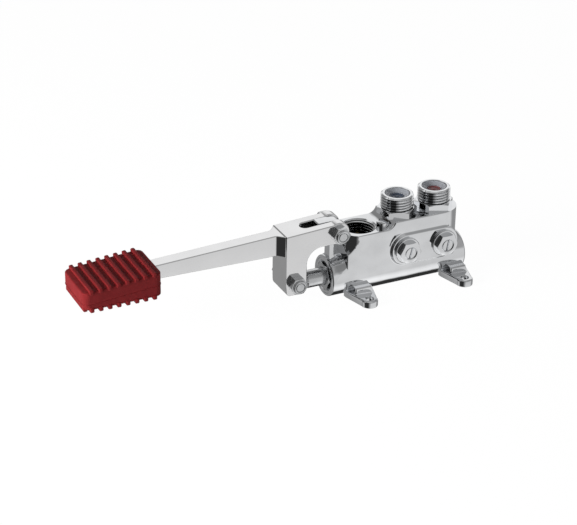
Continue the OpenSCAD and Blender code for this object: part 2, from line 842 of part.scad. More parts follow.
module fork_head() {
    across(head_w) polygon([
        [leg_front_x, limb_under],
        [leg_front_x, head_top_front],
        [pivot_x, head_top_pivot],
        [pivot_x, limb_under]
    ]);
    across(head_w) translate([pivot_x, pivot_z]) circle(head_boss_r);
    across(head_w) rect([leg_front_x, roller_z], [leg_back_x, limb_under + lap]);
    across(head_w) round_rect([leg_front_x, roller_z - leg_foot],
        [leg_back_x, roller_z + 2 * leg_corner_r], leg_corner_r);
    across(head_w) translate([leg_back_x, limb_under]) mirror([0, 1]) hollow_corner(head_corner_r);
}

module arm_side()
    polygon([
        [leg_front_x + lap, head_top_front - arm_h_head],
        [leg_front_x + lap, head_top_front],
        [arm_end_x, arm_top_pedal],
        [arm_end_x, arm_top_pedal - arm_h_pedal]
    ]);

module arm() {
    across(arm_w) arm_side();
    for (side = [0, 1])
        mirror([0, side, 0]) intersection() {
            across(head_w) arm_side();
            translate([leg_front_x, arm_w / 2, 0]) linear_extrude(big) polygon([
                [lap, -lap],
                [lap, shoulder_w],
                [0, shoulder_w],
                [-shoulder_w, 0],
                [-shoulder_w, -lap]
            ]);
        }
}

module pedal_plate()
    translate([pedal_far_x + cover_wall, cover_wall - pedal_w / 2, plate_z])
        cube([pedal_len - 2 * cover_wall, pedal_w - 2 * cover_wall, plate_t]);

module fork_slot() {
    roller_room = roller_d / 2 + 2 * meet_gap;
    slot_end_x = pivot_x - slot_reach + slot_w / 2;
    z_bar(slot_end_x, 0, limb_under - head_corner_r, big, slot_w / 2);
    across(slot_w) {
        rect([slot_end_x, limb_under - head_corner_r], [pivot_x + big, big]);
        rect([roller_x, -big], [pivot_x + big, roller_z + roller_room]);
        rect([roller_x - roller_room, -big], [roller_x + slice, roller_z]);
        translate([roller_x, roller_z]) circle(roller_room);
    }
}

module lever()
    color("gainsboro") difference() {
        union() {
            fork_head();
            arm();
            pedal_plate();
        }
        fork_slot();
        y_bar(pivot_x, pivot_z, -big, big, bolt_d / 2 + set_gap);
        y_bar(roller_x, roller_z, -big, big, bolt_d / 2 + set_gap);
    }

module cover_side()
    polygon([
        [pedal_far_x, pedal_top_far - pedal_part],
        [pedal_far_x + pedal_toe, pedal_under],
        [pedal_near_x, pedal_under],
        [pedal_near_x, pedal_top_near],
        [pedal_far_x, pedal_top_far]
    ]);

module rib()
    round_rect([-rib_w / 2, -rib_h], [rib_w / 2, rib_h], min(rib_w, rib_h) / 2);

module cover_ribs() {
    across(pedal_w - pedal_corner_r)
        translate([pedal_far_x + pedal_toe + rib_w / 2, pedal_under]) rib();
    across(pedal_w + 2 * rib_over)
        for (i = [0 : rib_count - 1]) {
            x = cover_mid_x + (i - (rib_count - 1) / 2) * rib_pitch;
            translate([x, pedal_top_far + (x - pedal_far_x) * pedal_slope])
                rotate(atan(pedal_slope)) rib();
            translate([x, pedal_under]) rib();
        }
}

module pedal_cover()
    color("darkred") difference() {
        union() {
            intersection() {
                across(big) cover_side();
                linear_extrude(big)
                    round_rect([pedal_far_x, -pedal_w / 2], [pedal_near_x, pedal_w / 2], pedal_corner_r);
            }
            cover_ribs();
        }
        translate([pedal_far_x + cover_wall - set_gap, cover_wall - pedal_w / 2 - set_gap, plate_z - set_gap])
            cube([pedal_len - 2 * cover_wall + 2 * set_gap, pedal_w - 2 * cover_wall + 2 * set_gap,
                plate_t + 2 * set_gap]);
        across(arm_w + 2 * set_gap) rect(
            [arm_end_x - set_gap, arm_top_pedal - arm_h_pedal - meet_gap],
            [pedal_near_x + big, arm_top_pedal + lap]);
    }

// Hexagon bolt from the far side, and its self-locking nut on the near side
module cross_bolt(x, z) {
    y_bar(x, z, nut_end_y, head_w / 2 + slice, bolt_d / 2);
    translate([x, head_w / 2, z]) rotate([-90, 0, 0])
        cylinder(d = nut_af * hex_corner, h = bolt_head_h, $fn = 6);
}

module cross_nut(x, z)
    difference() {
        union() {
            translate([x, -head_w / 2, z]) rotate([90, 0, 0])
                cylinder(d = nut_af * hex_corner, h = nut_hex_h, $fn = 6);
            y_bar(x, z, nut_end_y, -head_w / 2, nut_af / 2 - nut_collar_in);
        }
        y_bar(x, z, -big, big, bolt_d / 2 + set_gap);
    }

module pivot_bolt()
    color("lightgray") cross_bolt(pivot_x, pivot_z);

module pivot_nut()
    color("lightgray") cross_nut(pivot_x, pivot_z);

module roller_bolt()
    color("lightgray") cross_bolt(roller_x, roller_z);

module roller_nut()
    color("lightgray") cross_nut(roller_x, roller_z);

module roller()
    color("slategray") difference() {
        y_bar(roller_x, roller_z, meet_gap - slot_w / 2, slot_w / 2 - meet_gap, roller_d / 2);
        y_bar(roller_x, roller_z, -big, big, bolt_d / 2 + run_gap);
    }

// Pieces that slide with the rod

module push_rod()
    color("silver") {
        x_bar(nose_x, nose_x + nose_len + slice, nose_d / 2);
        x_bar(nose_x + nose_len, stem_front_x, rod_d / 2);
        x_bar(stem_front_x - slice, stem_front_x + rod_spigot_len, stem_bore_d / 2 - set_gap);
    }

module valve_stem() {
    flange_r = disc_d / 2 - flange_in;
    hot_flange_x = hot_seat_x + seat_len + disc_t + 2 * set_gap;
    cold_flange_x = cold_seat_x + seat_len + disc_t + 2 * set_gap;
    hot_way_x = (divider_x + seat_len + hot_seat_x) / 2;
    color("goldenrod") difference() {
        union() {
            x_bar(stem_front_x, hot_flange_x, stem_d / 2);
            x_bar(stem_front_x, stem_front_x + flange_t, rod_d / 2 + collar_out);
            x_bar(cold_flange_x, cold_flange_x + flange_t, flange_r);
            x_bar(hot_flange_x - slice, hot_flange_x + flange_t, flange_r);
            x_bar(hot_flange_x, stem_tail_x, stem_tail_d / 2);
        }
        x_bar(stem_front_x - 1, hot_way_x + stem_way_r + lap, stem_bore_d / 2);
        for (x = [outlet_x, hot_way_x])
            y_bar(x, axis_z, -half_w, half_w, stem_way_r);
    }
}

module valve_disc(seat_x)
    x_ring(seat_x + seat_len + set_gap, seat_x + seat_len + disc_t + set_gap, stem_d / 2 + set_gap, disc_d / 2);

module cold_disc()
    color("dimgray") valve_disc(cold_seat_x);

module hot_disc()
    color("dimgray") valve_disc(hot_seat_x);

module return_spring() {
    low = hot_seat_x + seat_len + disc_t + flange_t + return_wire_r + 3 * set_gap;
    high = bore_end_x - return_wire_r - set_gap;
    color("lightsteelblue") translate([low, 0, axis_z]) rotate([0, 90, 0])
        coil(stem_tail_d / 2 + return_coil_gap, return_wire_r, high - low, return_turns);
}

valve_body();
gland_bonnet();
gland_nut();
gland_packing();
bonnet_gasket();
cold_seat();
hot_seat();
divider_ring();
pivot_bush();
cold_nipple();
hot_nipple();
cold_nipple_gasket();
hot_nipple_gasket();
cold_check_cage();
hot_check_cage();
cold_check_spider();
hot_check_spider();
cold_check_poppet();
hot_check_poppet();
cold_check_spring();
hot_check_spring();
cold_stop_plug();
hot_stop_plug();
cold_stop_spindle();
hot_stop_spindle();
cold_stop_disc();
hot_stop_disc();
flow_screw();
lever();
pedal_cover();
pivot_bolt();
pivot_nut();
roller_bolt();
roller_nut();
roller();
push_rod();
valve_stem();
cold_disc();
hot_disc();
return_spring();
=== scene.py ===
"""Looks of the foot pedal tap valve: every finish and fine shape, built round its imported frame."""

import json
import math

import bpy
from bpy.props import FloatProperty, FloatVectorProperty, IntProperty, PointerProperty
from mathutils import Euler, Matrix, Vector

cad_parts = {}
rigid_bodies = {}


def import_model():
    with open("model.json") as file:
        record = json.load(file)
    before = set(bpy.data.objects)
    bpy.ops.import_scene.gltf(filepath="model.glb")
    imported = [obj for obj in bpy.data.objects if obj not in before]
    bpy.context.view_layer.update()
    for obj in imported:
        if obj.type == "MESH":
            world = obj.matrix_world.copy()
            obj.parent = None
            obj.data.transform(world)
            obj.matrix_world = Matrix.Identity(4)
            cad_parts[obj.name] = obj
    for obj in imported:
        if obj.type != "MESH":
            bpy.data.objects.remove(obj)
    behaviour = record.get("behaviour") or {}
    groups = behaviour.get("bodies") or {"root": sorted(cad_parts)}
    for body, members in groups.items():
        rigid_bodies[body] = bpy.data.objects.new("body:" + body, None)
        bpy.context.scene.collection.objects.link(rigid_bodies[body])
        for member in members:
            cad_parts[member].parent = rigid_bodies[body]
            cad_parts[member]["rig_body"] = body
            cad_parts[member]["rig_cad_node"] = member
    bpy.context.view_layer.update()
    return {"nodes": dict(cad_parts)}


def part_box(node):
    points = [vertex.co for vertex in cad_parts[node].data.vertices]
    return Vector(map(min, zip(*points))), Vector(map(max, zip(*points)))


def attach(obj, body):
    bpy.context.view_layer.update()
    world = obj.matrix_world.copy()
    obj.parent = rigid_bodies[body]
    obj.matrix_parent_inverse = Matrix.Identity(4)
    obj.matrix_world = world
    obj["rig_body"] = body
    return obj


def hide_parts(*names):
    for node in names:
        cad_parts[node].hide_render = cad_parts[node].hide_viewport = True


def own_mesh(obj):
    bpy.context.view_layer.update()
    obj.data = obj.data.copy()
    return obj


bl_info = {
    "name": "Foot pedal tap valve",
    "version": (1, 0, 0),
    "blender": (4, 5, 0),
    "location": "View3D > Sidebar > Tap valve",
    "description": "Dresses the packed foot pedal tap valve and sets its studio stage",
    "category": "Object",
}

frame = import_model()
MM = 0.001
JOIN = 1e-6
CUT = 1e-7
FLAT = math.radians(0.2)
SHARP = math.radians(30)
SMOOTH = 32
ROUND_STEPS = 72
THREAD_STEPS = 48

# Turns that lay an upright piece down, its top to the far side, the near side or the pedal
AWAY = (math.radians(-90), 0, 0)
TOWARD = (math.radians(90), 0, 0)
FORWARD = (0, math.radians(-90), 0)

# Places and radii on the solids, in millimetres
BARREL_R = 13.3
BOLT_X, BOLT_Y = 34, 24
STOP_X, STOP_Z = -3.8, 27.8
OUTLET_X = -30.2

# The floor's own light, and how much of it the camera sees instead of the floor's shading
FLOOR_GLOW = 1.1
FLOOR_WHITE = 0.88

# Panels that polished metal mirrors: azimuth, half width, lowest, highest and soft edge in degrees, brightness
PANELS = (
    (300, 44, -62, 22, 9, 0.66),
    (300, 44, -66, -36, 10, 0.98),
    (315, 45, 20, 62, 10, 0.36),
    (54, 34, 2, 38, 6, 0.87),
    (150, 22, 30, 62, 8, 0.85),
    (165, 16, -45, -8, 7, 0.5),
    (208, 30, -40, 55, 6, 0.03),
    (35, 52, -90, -40, 7, 0.03),
    (0, 180, 68, 95, 8, 0.5),
)


# Sizes and colours


def length(name, description, size):
    """A property that is a length, given in millimetres."""
    return FloatProperty(name=name, description=description, default=size * MM, unit="LENGTH")


def angle(name, description, size):
    """A property that is an angle, given in degrees."""
    return FloatProperty(name=name, description=description, default=math.radians(size), subtype="ANGLE")


def colour(name, description, value):
    """A property that is a colour."""
    return FloatVectorProperty(name=name, description=description, default=value, subtype="COLOR")


class ValveSizes(bpy.types.PropertyGroup):
    """Sizes of the detail that the scene adds to the solids."""

    thread_pitch: length("Thread pitch", "Pitch of the pipe threads", 1.814)
    thread_depth: length("Thread depth", "Depth of the pipe threads", 1.1)
    body_edge: length("Body edge", "Rounding of the cast body's fine edges", 0.4)
    body_round: length("Body rounding", "Rounding of the cast body's long outer edges", 1)
    foot_round: length("Foot rounding", "Rounding of the feet's edges", 1.3)
    lever_edge: length("Lever edge", "Rounding of the lever's edges", 0.7)
    pedal_edge: length("Pedal edge", "Rounding of the pedal cover's edges", 0.8)
    pedal_corner: length("Pedal corner", "Radius of the pedal cover's upright corners", 4)
    seam_rise: length("Seam rise", "Rise of the mould seam round the pedal cover", 0.2)
    pedal_part: length("Seam drop", "Drop from the pedal cover's top to its mould seam", 7.9)
    pedal_toe: length("Pedal toe", "Lean of the pedal's far wall below the seam", 0.7)
    rib_count: IntProperty(name="Ribs", description="Ribs on each side of the pedal cover", default=8, min=1)
    rib_width: length("Rib width", "Width of a pedal rib", 2.6)
    rib_height: length("Rib height", "Height of a pedal rib", 1.5)
    rib_pitch: length("Rib spacing", "Spacing of the pedal ribs", 5.57)


class ValveFinish(bpy.types.PropertyGroup):
    """Colours of the valve's finishes."""

    chrome: colour("Chrome", "Polished chrome plate", (0.9, 0.91, 0.925))
    lever_chrome: colour("Lever chrome", "Softer chrome plate of the lever", (0.9, 0.9, 0.905))
    pedal: colour("Pedal rubber", "Red moulded rubber", (0.35, 0.03, 0.033))
    steel: colour("Steel", "Bright turned steel", (0.7, 0.71, 0.72))
    brass: colour("Brass", "Turned brass", (0.5, 0.37, 0.16))
    seal: colour("Seal rubber", "Black seal rubber", (0.03, 0.03, 0.032))
    fibre: colour("Fibre", "Pressed fibre gasket", (0.09, 0.075, 0.065))
    grey_plastic: colour("Grey plastic", "Check valve cages", (0.75, 0.78, 0.84))
    blue_plastic: colour("Blue plastic", "Cold check poppet", (0.14, 0.18, 0.27))
    red_plastic: colour("Red plastic", "Hot check poppet", (0.5, 0.17, 0.17))


class ValveStage(bpy.types.PropertyGroup):
    """Camera, floor and light."""

    azimuth: angle("Azimuth", "Camera's turn round the valve", -25.99)
    elevation: angle("Elevation", "Camera's height angle", 27.52)
    roll: angle("Roll", "Camera's roll", 0.81)
    distance: length("Distance", "Camera's distance from its target", 1142.74)
    target: FloatVectorProperty(
        name="Target", description="Point in the middle of the picture", subtype="TRANSLATION",
        default=(-0.0785, 0, 0.02766),
    )
    lens: FloatProperty(name="Lens", description="Focal length in millimetres", default=115.92)
    floor: colour("Floor", "Pale floor", (0.9, 0.9, 0.9))
    fill: FloatProperty(name="Fill", description="Even light from all round", default=0.6)
    key: FloatProperty(name="Key", description="Power of the large soft light on the pedal's side", default=8)
    top: FloatProperty(name="Top", description="Power of the large soft light overhead", default=0.3)


def sizes():
    return bpy.context.scene.tap_valve_sizes


def finish():
    return bpy.context.scene.tap_valve_finish


def stage():
    return bpy.context.scene.tap_valve_stage


# Modelling


def clear():
    """Leaves nothing selected, in object mode."""
    if bpy.context.object and bpy.context.object.mode != "OBJECT":
        bpy.ops.object.mode_set(mode="OBJECT")
    bpy.ops.object.select_all(action="DESELECT")


def pick(obj):
    """Selects one piece and makes it the active one."""
    clear()
    obj.select_set(True)
    bpy.context.view_layer.objects.active = obj


def named(name):
    """Names the piece just made."""
    obj = bpy.context.object
    obj.name = name
    obj.data.name = name
    return obj


def place(obj, at=(0, 0, 0), turn=(0, 0, 0)):
    """Turns and moves a piece, and puts its place into its mesh."""
    pick(obj)
    obj.rotation_euler = Euler(turn)
    obj.location = at
    bpy.ops.object.transform_apply(location=True, rotation=True, scale=True)
    return obj


def drawn_line(name, points):
    """An edge chain through radii and heights in millimetres, extruded from place to place."""
    clear()
    bpy.ops.mesh.primitive_plane_add(size=MM)
    obj = named(name)
    bpy.ops.object.mode_set(mode="EDIT")
    bpy.ops.mesh.select_mode(type="VERT")
    bpy.ops.mesh.select_all(action="SELECT")
    bpy.ops.mesh.merge(type="CENTER")
    last = Vector((0, 0, 0))
    for index, (radius, height) in enumerate(points):
        point = Vector((radius * MM, 0, height * MM))
        if index:
            bpy.ops.mesh.extrude_region_move(TRANSFORM_OT_translate={"value": point - last})
        else:
            bpy.ops.transform.translate(value=point)
        last = point
    bpy.ops.mesh.select_all(action="SELECT")
    return obj


def close_up():
    """Joins doubled points and turns the faces outwards, in edit mode."""
    bpy.ops.mesh.select_all(action="SELECT")
    bpy.ops.mesh.remove_doubles(threshold=JOIN)
    bpy.ops.mesh.normals_make_consistent(inside=False)


def turned(name, profile, at=(0, 0, 0), turn=(0, 0, 0), steps=ROUND_STEPS):
    """A lathe-turned piece: a profile of radii and heights in millimetres, spun round."""
    obj = drawn_line(name, profile)
    bpy.ops.mesh.spin(steps=steps, angle=2 * math.pi, center=(0, 0, 0), axis=(0, 0, 1))
    close_up()
    bpy.ops.object.mode_set(mode="OBJECT")
    return place(obj, at, turn)


def plain_bar(radius, low, high):
    """The profile of a plain round bar between two heights."""
    return [(0, low), (radius, low), (radius, high), (0, high)]


def box(name, low, high):
    """A block between two corners."""
    clear()
    bpy.ops.mesh.primitive_cube_add(size=1)
    obj = named(name)
    obj.scale = Vector(high) - Vector(low)
    return place(obj, (Vector(low) + Vector(high)) / 2)


def boolean(obj, tool, operation):
    """Joins, cuts or trims a piece with another, which is used up."""
    pick(obj)
    bpy.ops.object.modifier_add(type="BOOLEAN")
    modifier = obj.modifiers[-1]
    modifier.operation = operation
    modifier.solver = "EXACT"
    modifier.object = tool
    bpy.ops.object.modifier_apply(modifier=modifier.name)
    if not obj.data.polygons:
        raise RuntimeError(f"nothing is left of {obj.name}")
    bpy.data.objects.remove(tool)
    return obj


def cut_slot(obj, half, depth):
    """Saws a screwdriver's slot across the top of a piece that stands at the origin."""
    reach = 4.2 * MM
    slot = box(obj.name + "_slot", (-half * MM, -reach, -depth * MM), (half * MM, reach, MM))
    boolean(obj, slot, "DIFFERENCE")


def smooth(obj, degrees):
    """Smooth shading that keeps the sharp edges."""
    pick(obj)
    bpy.ops.object.shade_smooth_by_angle(angle=math.radians(degrees))
    bpy.ops.object.modifier_add(type="WEIGHTED_NORMAL")
    modifier = obj.modifiers[-1]
    modifier.keep_sharp = True
    bpy.ops.object.modifier_apply(modifier=modifier.name)


def bevel(obj, width, weighted=False):
    """Rounds the sharp edges, or each edge by its own share of a width."""
    pick(obj)
    bpy.ops.object.modifier_add(type="BEVEL")
    modifier = obj.modifiers[-1]
    modifier.width = width
    modifier.segments = 3
    modifier.limit_method = "WEIGHT" if weighted else "ANGLE"
    modifier.angle_limit = SHARP
    modifier.miter_outer = "MITER_ARC"
    modifier.use_clamp_overlap = not weighted
    bpy.ops.object.modifier_apply(modifier=modifier.name)


def hexagon(name, flats, height, both=False):
    """A standing hexagon bar, in millimetres, with its corners turned off at the top, or at both ends."""
    clear()
    corner = flats / 2 / math.cos(math.radians(30))
    bpy.ops.mesh.primitive_cylinder_add(vertices=6, radius=corner * MM, depth=height * MM)
    obj = place(named(name), (0, 0, height * MM / 2))
    face = flats / 2 - 0.1
    wide = corner + 1
    rise = (wide - face) * math.tan(math.radians(30))
    foot = [(0, 0), (face, 0), (wide, rise)] if both else [(0, -1), (wide, -1)]
    blank = turned(name + "_blank", foot + [(wide, height - rise), (face, height), (0, height)])
    return boolean(obj, blank, "INTERSECT")


def threaded_bar(name, crest, root, pitch, low, high):
    """A bar with a true helical thread between two heights, in millimetres."""
    start = high + 0.5 * pitch
    ramp, flat = 0.36 * pitch, 0.14 * pitch
    profile = [
        (root, start),
        (root, start + flat / 2),
        (crest, start + flat / 2 + ramp),
        (crest, start + flat / 2 + ramp + flat),
        (root, start + flat / 2 + 2 * ramp + flat),
        (root, start + pitch),
    ]
    obj = drawn_line(name, profile)
    turns = math.ceil((high - low) / pitch) + 2
    bpy.ops.mesh.screw(steps=THREAD_STEPS, turns=turns, center=(0, 0, 0), axis=(0, 0, -1))
    close_up()
    for height, inner in ((low, True), (high, False)):
        bpy.ops.mesh.select_all(action="SELECT")
        bpy.ops.mesh.bisect(
            plane_co=(0, 0, height * MM), plane_no=(0, 0, 1), use_fill=True, clear_inner=inner,
            clear_outer=not inner, threshold=CUT,
        )
    close_up()
    bpy.ops.object.mode_set(mode="OBJECT")
    return obj


def copied(node, name):
    """A copy of a solid, as a new piece that is still tied to nothing."""
    pick(frame["nodes"][node])
    bpy.ops.object.duplicate()
    obj = named(name)
    bpy.ops.object.parent_clear(type="CLEAR_KEEP_TRANSFORM")
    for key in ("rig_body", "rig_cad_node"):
        del obj[key]
    return obj


def softened(node, name, widest, width_at, trim=None):
    """A copy of a solid with its sharp edges rounded, each by the width that a rule gives for its middle."""
    obj = copied(node, name)
    bpy.ops.mesh.customdata_custom_splitnormals_clear()
    bpy.ops.object.mode_set(mode="EDIT")
    close_up()
    bpy.ops.mesh.dissolve_limited(angle_limit=FLAT)
    if trim:
        bpy.ops.object.mode_set(mode="OBJECT")
        trim(obj)
        pick(obj)
        bpy.ops.object.mode_set(mode="EDIT")
    bpy.ops.mesh.select_mode(type="EDGE")
    bpy.ops.mesh.select_all(action="DESELECT")
    bpy.ops.mesh.edges_select_sharp(sharpness=SHARP)
    bpy.ops.object.mode_set(mode="OBJECT")
    points = obj.data.vertices
    if len(points) >= len(frame["nodes"][node].data.vertices):
        raise RuntimeError(f"the copy of {node} did not join up")
    share = obj.data.attributes.new("bevel_weight_edge", "FLOAT", "EDGE")
    for edge in obj.data.edges:
        if edge.select:
            middle = (points[edge.vertices[0]].co + points[edge.vertices[1]].co) / 2
            share.data[edge.index].value = width_at(middle) / widest
    bevel(obj, widest, weighted=True)
    return obj


def dress(obj, material):
    """Gives a piece one material, by its name."""
    obj.data.materials.clear()
    obj.data.materials.append(bpy.data.materials[material])


def settle(obj, material, slot, body, *nodes, degrees=SMOOTH):
    """Finishes a new piece: shading, material, its body and the solids that it stands for; the slot is not used."""
    if degrees:
        smooth(obj, degrees)
    dress(obj, material)
    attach(obj, body)
    if nodes:
        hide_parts(*nodes)


# Materials


def add_node(tree, kind, **values):
    """A new node with its settings."""
    node = tree.nodes.new(kind)
    for key, value in values.items():
        setattr(node, key, value)
    return node


def feed(tree, socket, value):
    """Sets a socket to a number, or joins another socket to it."""
    if isinstance(value, (int, float)):
        socket.default_value = value
    else:
        tree.links.new(value, socket)


def map_range(tree, value, low, high, to_low, to_high):
    """Spreads a value's range onto another; ends may be numbers or sockets."""
    node = add_node(tree, "ShaderNodeMapRange")
    sockets = ("Value", "From Min", "From Max", "To Min", "To Max")
    for socket, end in zip(sockets, (value, low, high, to_low, to_high)):
        feed(tree, node.inputs[socket], end)
    return node.outputs["Result"]


def noise(tree, vector, scale, detail, roughness=0.55):
    """Uneven values, spread over a piece."""
    node = add_node(tree, "ShaderNodeTexNoise")
    for socket, value in zip(("Vector", "Scale", "Detail", "Roughness"), (vector, scale, detail, roughness)):
        feed(tree, node.inputs[socket], value)
    return node.outputs["Fac"]


def calc(tree, operation, first, second=0.0):
    """One sum of two values, each a number or a socket."""
    node = add_node(tree, "ShaderNodeMath", operation=operation)
    for socket, value in zip(node.inputs, (first, second)):
        feed(tree, socket, value)
    return node.outputs[0]


def split_vector(tree, vector):
    """The sockets X, Y and Z of a vector."""
    node = add_node(tree, "ShaderNodeSeparateXYZ")
    tree.links.new(vector, node.inputs[0])
    return node.outputs


def mix_shaders(tree, share, first, second):
    """Mixes two shaders by the second one's share."""
    node = add_node(tree, "ShaderNodeMixShader")
    for socket, value in zip(node.inputs, (share, first, second)):
        tree.links.new(value, socket)
    return node.outputs["Shader"]


def ray_kinds(tree):
    """Whether a ray comes from the camera, and whether it comes from polished metal."""
    path = add_node(tree, "ShaderNodeLightPath").outputs
    return path["Is Camera Ray"], calc(tree, "MAXIMUM", path["Is Glossy Ray"], path["Is Transmission Ray"])


def begin_group(name, inputs):
    """A shader node group with named number inputs, and the place on the piece that it works from."""
    group = bpy.data.node_groups.new(name, "ShaderNodeTree")
    for socket, value in inputs.items():
        group.interface.new_socket(name=socket, in_out="INPUT", socket_type="NodeSocketFloat").default_value = value
    given = group.nodes.new("NodeGroupInput").outputs
    return group, given, add_node(group, "ShaderNodeTexCoord").outputs["Object"]


def end_group(group, roughness, height, shade):
    """Puts out what a node group has worked out."""
    results = {"Roughness": roughness, "Height": height, "Shade": shade}
    for socket in results:
        group.interface.new_socket(name=socket, in_out="OUTPUT", socket_type="NodeSocketFloat")
    put = group.nodes.new("NodeGroupOutput")
    for socket, value in results.items():
        group.links.new(value, put.inputs[socket])
    return group


def polish_group():
    """Polished plate: faint smears in the gloss and the slight waviness of a hand-buffed casting."""
    group, given, where = begin_group(
        "polished_plate", {"Smear Scale": 38.0, "Wave Scale": 45.0, "Bright": 0.03, "Dull": 0.09}
    )
    smear = noise(group, where, given["Smear Scale"], 5.0)
    return end_group(
        group,
        map_range(group, smear, 0.35, 0.75, given["Bright"], given["Dull"]),
        noise(group, where, given["Wave Scale"], 1.5),
        map_range(group, smear, 0.3, 0.8, 0.0, 1.0),
    )


def fork_group():
    """Polished plate that is rough inside the fork's slot, where painted shade darkens its colour."""
    group, given, where = begin_group(
        "forked_plate",
        {"Smear Scale": 60.0, "Wave Scale": 45.0, "Bright": 0.06, "Dull": 0.13, "Slot Dull": 0.4,
         "Slot Half": 3.8 * MM, "Slot End": -71.4 * MM, "Slot Top": 49.3 * MM},
    )
    parts = split_vector(group, where)
    smear = noise(group, where, given["Smear Scale"], 5.0)
    # Painted shade: the space between the fork's cheeks is darkened where shade falls, and made rough
    inside = calc(group, "LESS_THAN", calc(group, "ABSOLUTE", parts["Y"]), given["Slot Half"])
    for test in (
        calc(group, "GREATER_THAN", parts["X"], given["Slot End"]),
        calc(group, "LESS_THAN", parts["Z"], given["Slot Top"]),
    ):
        inside = calc(group, "MULTIPLY", inside, test)
    plain = map_range(group, smear, 0.35, 0.75, given["Bright"], given["Dull"])
    return end_group(
        group,
        calc(group, "MAXIMUM", plain, calc(group, "MULTIPLY", inside, given["Slot Dull"])),
        noise(group, where, given["Wave Scale"], 1.5),
        # Shade: the slot's painted shade, with a faint random tone from the smears
        calc(group, "MAXIMUM", inside, map_range(group, smear, 0.3, 0.8, 0.0, 0.06)),
    )


def thread_group():
    """Threaded plate: bright crests round an upright axis, with the grooves between them darkened by painted shade,
    below a plain rim.
    """
    group, given, where = begin_group(
        "threaded_plate",
        {"Axis X": 0.0, "Groove": 9.4 * MM, "Crest": 10.4 * MM, "Rim": 60 * MM, "Smear Scale": 90.0,
         "Bright": 0.04, "Dull": 0.12},
    )
    parts = split_vector(group, where)
    aside = calc(group, "SUBTRACT", parts["X"], given["Axis X"])
    squares = (calc(group, "MULTIPLY", value, value) for value in (aside, parts["Y"]))
    radius = calc(group, "SQRT", calc(group, "ADD", *squares))
    # Painted shade: the base colour darkens towards the groove radius, where shade falls in the thread
    painted_groove_shade = map_range(group, radius, given["Groove"], given["Crest"], 1.0, 0.0)
    below = calc(group, "LESS_THAN", parts["Z"], given["Rim"])
    smear = noise(group, where, given["Smear Scale"], 5.0)
    gloss = map_range(group, smear, 0.35, 0.75, given["Bright"], given["Dull"])
    return end_group(group, gloss, smear, calc(group, "MULTIPLY", painted_groove_shade, below))


def grain_group():
    """Moulded grain: a fine pitted surface with broad uneven shading."""
    group, given, where = begin_group(
        "moulded_grain", {"Grain Scale": 1400.0, "Mottle Scale": 120.0, "Bright": 0.55, "Dull": 0.75}
    )
    fine = noise(group, where, given["Grain Scale"], 2.0, 0.6)
    mottle = noise(group, where, given["Mottle Scale"], 4.0)
    gloss = map_range(group, fine, 0.3, 0.7, given["Bright"], given["Dull"])
    return end_group(group, gloss, fine, map_range(group, mottle, 0.3, 0.7, 0.0, 1.0))


def lathe_group():
    """Turned metal: fine tool rings and slightly uneven gloss."""
    group, given, where = begin_group(
        "tool_rings", {"Ring Scale": 900.0, "Smear Scale": 160.0, "Bright": 0.14, "Dull": 0.3}
    )
    rings = add_node(group, "ShaderNodeTexWave", wave_type="BANDS", bands_direction="DIAGONAL")
    for socket, value in (("Vector", where), ("Scale", given["Ring Scale"]), ("Distortion", 1.5)):
        feed(group, rings.inputs[socket], value)
    smear = noise(group, where, given["Smear Scale"], 4.0)
    gloss = map_range(group, smear, 0.35, 0.7, given["Bright"], given["Dull"])
    return end_group(group, gloss, rings.outputs["Fac"], map_range(group, smear, 0.3, 0.75, 0.0, 1.0))


def surface(name, group, values, tone, dark, metallic, bump, step, specular=0.5):
    """One material: a node group's gloss, shade and height on a Principled shader; step is in millimetres."""
    material = bpy.data.materials.new(name)
    material.use_nodes = True
    tree = material.node_tree
    shader = tree.nodes["Principled BSDF"]
    effect = add_node(tree, "ShaderNodeGroup", node_tree=group)
    for socket, value in values.items():
        effect.inputs[socket].default_value = value
    mix = add_node(tree, "ShaderNodeMix", data_type="RGBA")
    tree.links.new(effect.outputs["Shade"], mix.inputs["Factor"])
    mix.inputs["A"].default_value = (*tone, 1)
    mix.inputs["B"].default_value = (*[c * dark for c in tone], 1)
    tree.links.new(mix.outputs["Result"], shader.inputs["Base Color"])
    tree.links.new(effect.outputs["Roughness"], shader.inputs["Roughness"])
    relief = add_node(tree, "ShaderNodeBump")
    relief.inputs["Strength"].default_value = bump
    relief.inputs["Distance"].default_value = step * MM
    tree.links.new(effect.outputs["Height"], relief.inputs["Height"])
    tree.links.new(relief.outputs["Normal"], shader.inputs["Normal"])
    shader.inputs["Metallic"].default_value = metallic
    shader.inputs["Specular IOR Level"].default_value = specular
    material.diffuse_color = (*tone, 1)


# Operators


